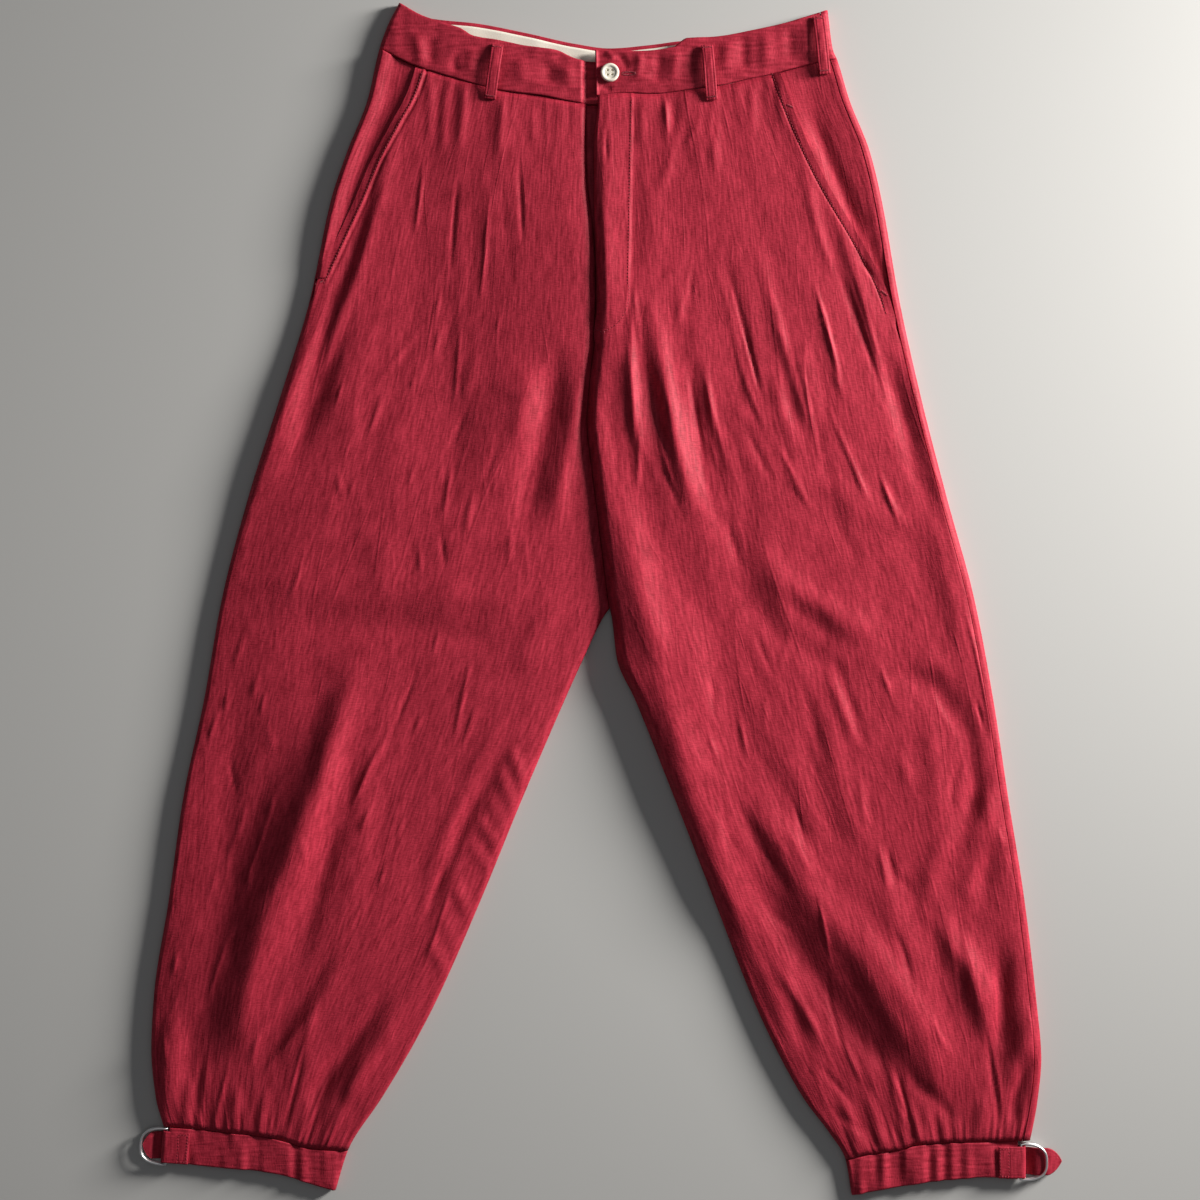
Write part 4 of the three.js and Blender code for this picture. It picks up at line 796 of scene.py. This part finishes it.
def front_band(name, leg):
    def column(u, y):
        inner = inner_edge(leg, y) if leg["side"] == "left" else np.full_like(y, BAND_END)
        return rolled_column(leg, u, inner, side_seam(leg, y), curve(leg["inner_roll"], y))

    def place(u, v):
        x, y = solve(u, v, column, lambda x: curve(leg["top"], x),
                     lambda x: curve(leg["waist"], x) + SEAM_GAP)
        return x, y, band_height(leg, x, y), y, x

    return cloth_piece(name, 200, 30, place, BAND_THICKNESS)


for side, leg, width, area in (("right", right, 0.042, 0.008), ("left", left, 0.04, 0.0077)):
    band = front_band(f"waistband_{side}", leg)
    stand_in(band, f"waistband_front_{side}")


def back_band_place(u, v):
    def half(leg, along):
        return under_place(leg, np.clip(along, 0, 1), v, lambda x: curve(BACK_TOP, x),
                           lambda x: curve(BACK_WAIST, x) + SEAM_GAP, 0)

    halves = zip(half(right, 1 - 2 * u), half(left, 2 * u - 1))
    x, y, z = (np.where(u < 0.5, there, here) for there, here in halves)
    return x, y, z, y, x


band_back = cloth_piece("waistband_back_half", 180, 14, back_band_place, BAND_THICKNESS, up=False,
                        probe=0.4)
stand_in(band_back, "waistband_back")


# Waistband lining: a strip of smooth cream cotton inside the back waistband, seen in the mouth.
# It is sewn in 3.5 mm below the band's top edge.
LINING_FROM, LINING_LENGTH, LINING_BELOW, LINING_DEPTH = -158, 334, 3.5, 24


def lining_place(u, v):
    x = LINING_FROM + LINING_LENGTH * u
    y = curve(BACK_TOP, x) - LINING_BELOW - LINING_DEPTH * v
    return x, y, 2.9 + 0.35 * smooth(1 - v) * (1 + noise(x / 14, y / 30, 8)), x, y


def speckle(material, scale, detail):
    """A fine noise in the piece's own space."""
    place = add_node(material, "TexCoord", {}, output="Object")
    return add_node(material, "TexNoise", {"Vector": place, "Scale": scale, "Detail": detail})


cotton, shader = new_material("cream_cotton", {"Roughness": 0.85})
threads = speckle(cotton, 900, 2)
set_inputs(shader, {
    "Base Color": tint(cotton, threads, (0.72, 0.66, 0.55), (0.90, 0.86, 0.77)),
    "Normal": add_node(cotton, "Bump", {"Strength": 0.3, "Distance": 0.0003, "Height": threads})})

lining = cloth_piece("lining_of_waistband", 150, 12, lining_place, 1.0)
stand_in(lining, "waistband_lining", cotton)


# Belt loops, 10 mm wide, of folded linen. Each is sewn at its two ends and stands off the
# waistband between them. Rows: name, node, leg, top end, bottom end, length of the strip.
LOOP_WIDTH, LOOP_THICKNESS = 10, 1.5
LOOP_FOOT = 2.25  # the outer face above the leg's front where the loop is sewn on
LOOPS = [
    ("belt_loop_right", "belt_loop_front_right", right, (-87.6, 471.3), (-94.4, 424.6), 0.05),
    ("belt_loop_left", "belt_loop_front_left", left, (90, 470.9), (94.1, 423.7), 0.05),
    ("belt_loop_by_side_seam", "belt_loop_side_left", left, (184.5, 495.5), (190, 446), 0.052),
]


def loop_lines(top, bottom):
    """The line down a loop, and a line of length 1 across it."""
    along = np.array(bottom, float) - np.array(top, float)
    return along, np.array([-along[1], along[0]]) / np.linalg.norm(along)


def loop_rise(share):
    """How far the loop stands off the band at a share of its length."""
    return 3.4 * np.sin(math.pi * share ** 0.8) ** 0.7


def loop_strip(name, leg, top, bottom):
    along, sideways = loop_lines(top, bottom)

    def place(u, v):
        x = top[0] + along[0] * v + sideways[0] * (u - 0.5) * LOOP_WIDTH
        y = top[1] + along[1] * v + sideways[1] * (u - 0.5) * LOOP_WIDTH
        from_edge = np.minimum(u, 1 - u) * LOOP_WIDTH
        edge = 0.5 * np.exp(-from_edge / 0.8)
        stitched = 0.3 * ridge(from_edge - 2, 0.6)
        dull = 0.12 * noise(x / 3, y / 9, leg["seed"] + 30)
        z = front_height(leg, x, y) + LOOP_FOOT + loop_rise(np.clip(v, 0, 1))
        return x, y, z - edge - stitched + dull, x, y

    return cloth_piece(name, 22, 60, place, LOOP_THICKNESS)


for name, node, leg, top, bottom, length in LOOPS:
    loop = loop_strip(name, leg, top, bottom)
    stand_in(loop, node)


# Cuffs: bands of doubled linen, 31 mm high, folded round the inseam edge and open at the side,
# where the buckle closes them. Each buckle's x and y of the ring bars, turn in degrees, and
# reach of the strap's tip.
BUCKLES = {"right": (-369.8, -465.5, 176, 20.5), "left": (357.4, -478.6, 0, 35.3)}
FOLD_FROM, FOLD_TO = 0.42, 0.58  # the share of a cuff's length that turns round the inseam edge


def cuff_band(name, leg):
    side, sign = leg["side"], leg["sign"]
    front_end, back_end = BUCKLES[side][0] - sign * 2.6, BUCKLES[side][0] - sign * 5
    fullness = 1.5 if side == "left" else 1

    def place(u, v):
        turn = np.clip((u - FOLD_FROM) / (FOLD_TO - FOLD_FROM), 0, 1) * math.pi

        def column(u, y):
            start = inner_edge(leg, y) + sign * 4
            back = back_end + (start - back_end) * np.clip(u / FOLD_FROM, 0, 1)
            front = start + (front_end - start) * np.clip((u - FOLD_TO) / (1 - FOLD_TO), 0, 1)
            turned = start - sign * 4 * np.sin(turn)
            return np.where(u < FOLD_FROM, back, np.where(u > FOLD_TO, front, turned))

        x, y = solve(u, v, column, lambda x: curve(leg["cuff"], x) - 3 * SEAM_GAP,
                     lambda x: curve(leg["hem"], x))
        above, below = y - curve(leg["hem"], x), curve(leg["cuff"], x) - y
        edges = 0.5 * np.exp(-above / 0.9) + 0.5 * np.exp(-below / 0.9)
        stitched = 0.25 * ridge(above - 3, 0.9) + 0.25 * ridge(below - 3, 0.9)
        puckers = 1.2 * noise(x / 6.5, y / 40, leg["seed"] + 40)
        puckers = puckers + 1.1 * noise(x / 17, y / 50, leg["seed"] + 41)
        shaped = (fullness * puckers - edges - stitched) * smooth((u - 0.5) / 0.1)
        return x, y, 4 * (1 - np.cos(turn)) + shaped, y, x

    return cloth_piece(name, 220, 24, place, BAND_THICKNESS, probe=0.8)


for side, leg, length, area in (("right", right, 0.292, 0.009), ("left", left, 0.294, 0.0091)):
    cuff = cuff_band(f"cuff_of_{side}_leg", leg)
    stand_in(cuff, f"cuff_{side}")


# Cuff tabs: linen tabs 27 mm wide, stitched on the cuffs. Each wraps the bars of two D-rings,
# so its cloth comes back under itself.
TAB_TOP, TAB_UNDER, TAB_WIDTH, TAB_END = 9.5, 1.8, 27, -19.5
BAR_HIGH, BAR_LOW = 6.9, 4.4


def buckle_spot(side, x, y):
    bar_x, bar_y, turn, _ = BUCKLES[side]
    c, s = math.cos(math.radians(turn)), math.sin(math.radians(turn))
    return bar_x + c * x - s * y, bar_y + s * x + c * y


def along_profile(profile, t):
    """Places at even shares t of the length of a line of points."""
    points = np.array(profile, float)
    lengths = np.concatenate([[0], np.cumsum(np.linalg.norm(np.diff(points, axis=0), axis=1))])
    return tuple(np.interp(t * lengths[-1], lengths, points[:, k]) for k in range(points.shape[1]))


def tab_piece(name, side):
    middle, radius = (TAB_TOP + TAB_UNDER) / 2, (TAB_TOP - TAB_UNDER) / 2
    bend = [(0.3 + radius * math.sin(a), middle + radius * math.cos(a))
            for a in np.linspace(0, math.pi, 17)]
    profile = [(TAB_END, TAB_TOP), *bend, (-2.2, TAB_UNDER)]

    def place(u, v):
        local_x, z = along_profile(profile, u)
        local_y = (v - 0.5) * TAB_WIDTH
        x, y = buckle_spot(side, local_x, local_y)
        from_edge = TAB_WIDTH / 2 - np.abs(local_y)
        dent = 0.45 * np.exp(-from_edge / 0.8) + 0.25 * ridge(from_edge - 2.2, 0.7)
        seam = 0.3 * ridge(local_x + 10.5, 0.7) + 0.5 * np.exp(-(local_x - TAB_END) / 0.8)
        return x, y, z - (dent + seam) * (z > 9), local_x, local_y

    return cloth_piece(name, 90, 34, place, LINEN_THICKNESS, probe=0.1)


for side in ("right", "left"):
    tab = tab_piece(f"tab_of_{side}_cuff", side)
    stand_in(tab, f"cuff_tab_{side}")


# Straps: pointed linen straps from the cuffs' back ends, up through the lower ring and out
# under the upper one. The left tip shows past its rings, the right one stays inside them.
STRAP_HALF_WIDTH, STRAP_THICKNESS = 11.7, 1.4
STRAP_FOOT, STRAP_UNDER = 1.4, 1.0  # height at the cuff, and clearance under the upper bar


def strap_piece(name, side):
    tip = BUCKLES[side][3]
    high = BAR_HIGH - STRAP_UNDER
    sag = 2.6 if tip > 24 else 0
    rise = [(5 + 10.5 * t, STRAP_FOOT + (high - STRAP_FOOT) * float(smooth(t)))
            for t in np.linspace(0, 1, 9)]
    out = [(15.5 + (tip - 15.5) * t, high - sag * float(smooth((t - 0.35) / 0.65)))
           for t in np.linspace(0, 1, 9)[1:]]
    profile = [(-3.6, STRAP_FOOT), *rise, *out]
    point = min(13, tip - 12)

    def place(u, v):
        local_x, z = along_profile(profile, u)
        share = np.clip((tip - local_x) / point, 0, 1)
        half_width = STRAP_HALF_WIDTH * np.maximum(0.07, (1 - (1 - share) ** 1.7) ** 0.75)
        local_y = (v - 0.5) * 2 * half_width
        x, y = buckle_spot(side, local_x, local_y)
        from_edge = half_width - np.abs(local_y)
        dent = 0.35 * np.exp(-from_edge / 0.7) + 0.2 * ridge(from_edge - 2.2, 0.6)
        return x, y, z - dent, local_x, local_y

    return cloth_piece(name, 70, 26, place, STRAP_THICKNESS)


for side, length, area in (("right", 0.026, 0.0006), ("left", 0.04, 0.0009)):
    strap = strap_piece(f"strap_of_{side}_cuff", side)
    stand_in(strap, f"strap_{side}")


# D-rings: two nested rings of polished steel wire 2.2 mm thick at each cuff, 32.5 mm high. Their
# straight bars are held in the tab, and their bows point away from it.
WIRE_RADIUS, WIRE_SIDES = 1.1, 16
RING_REACH, RING_RISE, RING_SQUARENESS = 21.8, 15.15, 0.72


def wire_ring(name, path):
    """A closed ring of round wire along a list of points in millimetres."""
    bm = bmesh.new()
    points = [Vector(point) / 1000 for point in path]
    circles = []
    for k, point in enumerate(points):
        turn = (points[(k + 1) % len(points)] - points[k - 1]).to_track_quat("Z", "Y")
        circle = bmesh.ops.create_circle(bm, cap_ends=False, radius=WIRE_RADIUS / 1000,
                                         segments=WIRE_SIDES, matrix=turn.to_matrix().to_4x4())
        bmesh.ops.translate(bm, verts=circle["verts"], vec=point)
        circles.append(circle["verts"])
    for low, high in zip(circles, circles[1:] + circles[:1]):
        shift = min(range(WIRE_SIDES), key=lambda k: (high[k].co - low[0].co).length)
        for k in range(WIRE_SIDES):
            a, b = high[(k + shift) % WIRE_SIDES], high[(k + 1 + shift) % WIRE_SIDES]
            bm.faces.new((low[k], low[(k + 1) % WIRE_SIDES], b, a))
    bmesh.ops.recalc_face_normals(bm, faces=bm.faces)
    return finished(bm, name)


def d_ring(name, side, shift, height, tilt):
    angles = np.linspace(-math.pi / 2, math.pi / 2, 49)
    path = [(RING_REACH * math.cos(a) ** RING_SQUARENESS if math.cos(a) > 1e-6 else 0.0,
             RING_RISE * math.copysign(abs(math.sin(a)) ** RING_SQUARENESS, a)) for a in angles]
    path += [(0.0, y) for y in np.linspace(RING_RISE, -RING_RISE, 13)[1:-1]]
    slope = math.tan(math.radians(tilt))
    return wire_ring(name, [(*buckle_spot(side, x + shift, y), height - x * slope)
                            for x, y in path])


steel, shader = new_material("polished_steel", {
    "Metallic": 1.0, "Base Color": (0.9, 0.9, 0.91, 1)})
scuffs = speckle(steel, 420, 3)
set_inputs(shader, {"Roughness": add_node(steel, "MapRange", {
    "Value": scuffs, "To Min": 0.26, "To Max": 0.46})})

RINGS = [("upper", 0.0, BAR_HIGH, -1.3), ("lower", -0.2, BAR_LOW, 5.2)]
for side in ("right", "left"):
    for level, shift, height, tilt in RINGS:
        ring = d_ring(f"{level}_ring_of_{side}_cuff", side, shift, height, tilt)
        stand_in(ring, f"d_ring_{level}_{side}", steel)


# Button: cream, 15.7 mm across, with a raised rim and four holes, sewn on with cream thread
# through the left waistband where it laps over the right one.
BUTTON_X, BUTTON_Y, BUTTON_FOOT = 7.6, 447.5, 9.67
BUTTON_RADIUS, HOLE_AWAY, HOLE_RADIUS = 7.85, 1.9, 0.7

bm = bmesh.new()
bmesh.ops.create_grid(bm, x_segments=96, y_segments=60, size=0.5)
for vertex in bm.verts:
    angle, out = (vertex.co.x + 0.5) * 2 * math.pi, (0.5 - vertex.co.y) * 1.25
    distance = BUTTON_RADIUS * min(out, 1.0)
    rim = 2.2 + 0.8 * float(smooth((distance - 4.6) / 1.3))
    rim -= 1.1 * max(0.0, (distance - 6.7) / 1.15) ** 2.2
    x, y = distance * math.cos(angle), distance * math.sin(angle)
    for hole_x in (HOLE_AWAY, -HOLE_AWAY):
        for hole_y in (HOLE_AWAY, -HOLE_AWAY):
            gap = math.hypot(x - hole_x, y - hole_y)
            rim -= 1.7 * float(1 - smooth((gap - HOLE_RADIUS) / 0.45))
    height = rim if out <= 1 else rim * (1 - (out - 1) / 0.25)
    vertex.co = (x / 1000 + BUTTON_X / 1000, y / 1000 + BUTTON_Y / 1000,
                 (BUTTON_FOOT + height) / 1000)
bmesh.ops.remove_doubles(bm, verts=bm.verts, dist=0.000002)
bmesh.ops.holes_fill(bm, edges=bm.edges)
bmesh.ops.recalc_face_normals(bm, faces=bm.faces)
button = finished(bm, "waist_button")
shell, shader = new_material("cream_button", {"Roughness": 0.32})
cloud = speckle(shell, 260, 4)
set_inputs(shader, {"Base Color": tint(shell, cloud, (0.76, 0.70, 0.56), (0.90, 0.86, 0.76))})
stand_in(button, "button", shell)


# Sewing thread, crimson, 0.5 mm thick: topstitching along the pocket edges, the fly and the cuff
# tabs, bar tacks at the pockets' ends and the belt loops, and the buttonhole.
THREAD, THREAD_LIFT, POCKET_STITCH, FLY_STITCH = 0.5, 0.15, 7, 1.5


def stitch_rows(bm, rows, pitch, length, thread=THREAD, across=False):
    """Stitches along lines of points in millimetres, or across them."""
    for row in rows:
        steps = np.linalg.norm(np.diff(np.array(row, float), axis=0), axis=1)
        count = max(1, int(steps.sum() / pitch))
        for k in range(count):
            here = Vector(along_profile(row, (k + 0.4) / count))
            ahead = Vector(along_profile(row, (k + 0.6) / count))
            direction = ahead - here
            if across:
                direction = Vector((-direction.y, direction.x, 0))
            turn = direction.to_track_quat("X", "Z").to_matrix().to_4x4()
            spot = Matrix.Translation((here + ahead) / 2000)
            shape = Matrix.Diagonal((length / 2000, thread / 2000, thread / 2000, 1))
            bmesh.ops.create_icosphere(bm, subdivisions=1, radius=1, matrix=spot @ turn @ shape)


def on_front(leg, places):
    x, y = np.array(places, float).T
    return list(zip(x, y, front_height(leg, x, y, creased=True) + THREAD_LIFT))


def pocket_row(leg, top, bottom):
    y = np.linspace(top, bottom, 60)
    return on_front(leg, list(zip(curve(leg["opening"], y) - leg["sign"] * POCKET_STITCH, y)))


def across_loop(leg, top, bottom, share):
    """A line across a belt loop, at a share of its length."""
    along, sideways = loop_lines(top, bottom)
    middle = np.array(top) + along * share
    x, y = np.array([middle - sideways * 4, middle + sideways * 4]).T
    return list(zip(x, y, front_height(leg, x, y) + LOOP_FOOT + loop_rise(share) + 0.1))


turns = np.linspace(0, math.pi / 2, 20)
fly_curve = [(FLY_WIDTH * math.sin(a) - FLY_STITCH,
              FLY_FOOT + FLY_TURN - (FLY_TURN - 1) * math.cos(a)) for a in turns]
fly_curve += [(FLY_WIDTH - FLY_STITCH + fly_slant(y), y) for y in np.linspace(270, 424, 30)]
oval = np.linspace(0, 2 * math.pi, 41)
hole_x, hole_y = 23.5 + 6 * np.cos(oval), 447 + 1.3 * np.sin(oval)
buttonhole = list(zip(hole_x, hole_y, band_height(left, hole_x, hole_y) + 0.1))
TACKS = [(right, (-161.5, 424.5), (-156.5, 426.5)), (right, (-243, 268), (-236, 271)),
         (left, (158, 420), (163, 417.5)), (left, (238, 262), (243, 258)),
         (left, (-3, 229), (3, 226))]
TAB_BOX = [(-18, -11.5), (-18, 11.5), (-10.5, 11.5), (-10.5, -11.5), (-18, -11.5)]

bm = bmesh.new()
stitch_rows(bm, [pocket_row(right, 448, 268), pocket_row(left, 448, 242),
                 on_front(left, fly_curve)], pitch=2.8, length=2.1)
stitch_rows(bm, [on_front(leg, ends) for leg, *ends in TACKS], pitch=0.6, length=2.4, across=True)
for _, _, leg, top, bottom, _ in LOOPS:
    stitch_rows(bm, [across_loop(leg, top, bottom, share) for share in (0.05, 0.94)],
                pitch=0.9, length=1.8, across=True)
stitch_rows(bm, [buttonhole], pitch=0.6, length=1.9, thread=0.45, across=True)
for side in ("right", "left"):
    box = [(*buckle_spot(side, x, y), TAB_TOP + THREAD_LIFT) for x, y in TAB_BOX]
    stitch_rows(bm, [box], pitch=2.6, length=2.0)
thread = finished(bm, "sewing_thread")
twisted, shader = new_material("crimson_thread", {"Roughness": 0.5})
twist = speckle(twisted, 1400, 2)
set_inputs(shader, {
    "Base Color": tint(twisted, twist, (0.22, 0.012, 0.026), (0.42, 0.030, 0.058))})
thread.data.materials.append(twisted)
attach(thread, "root")
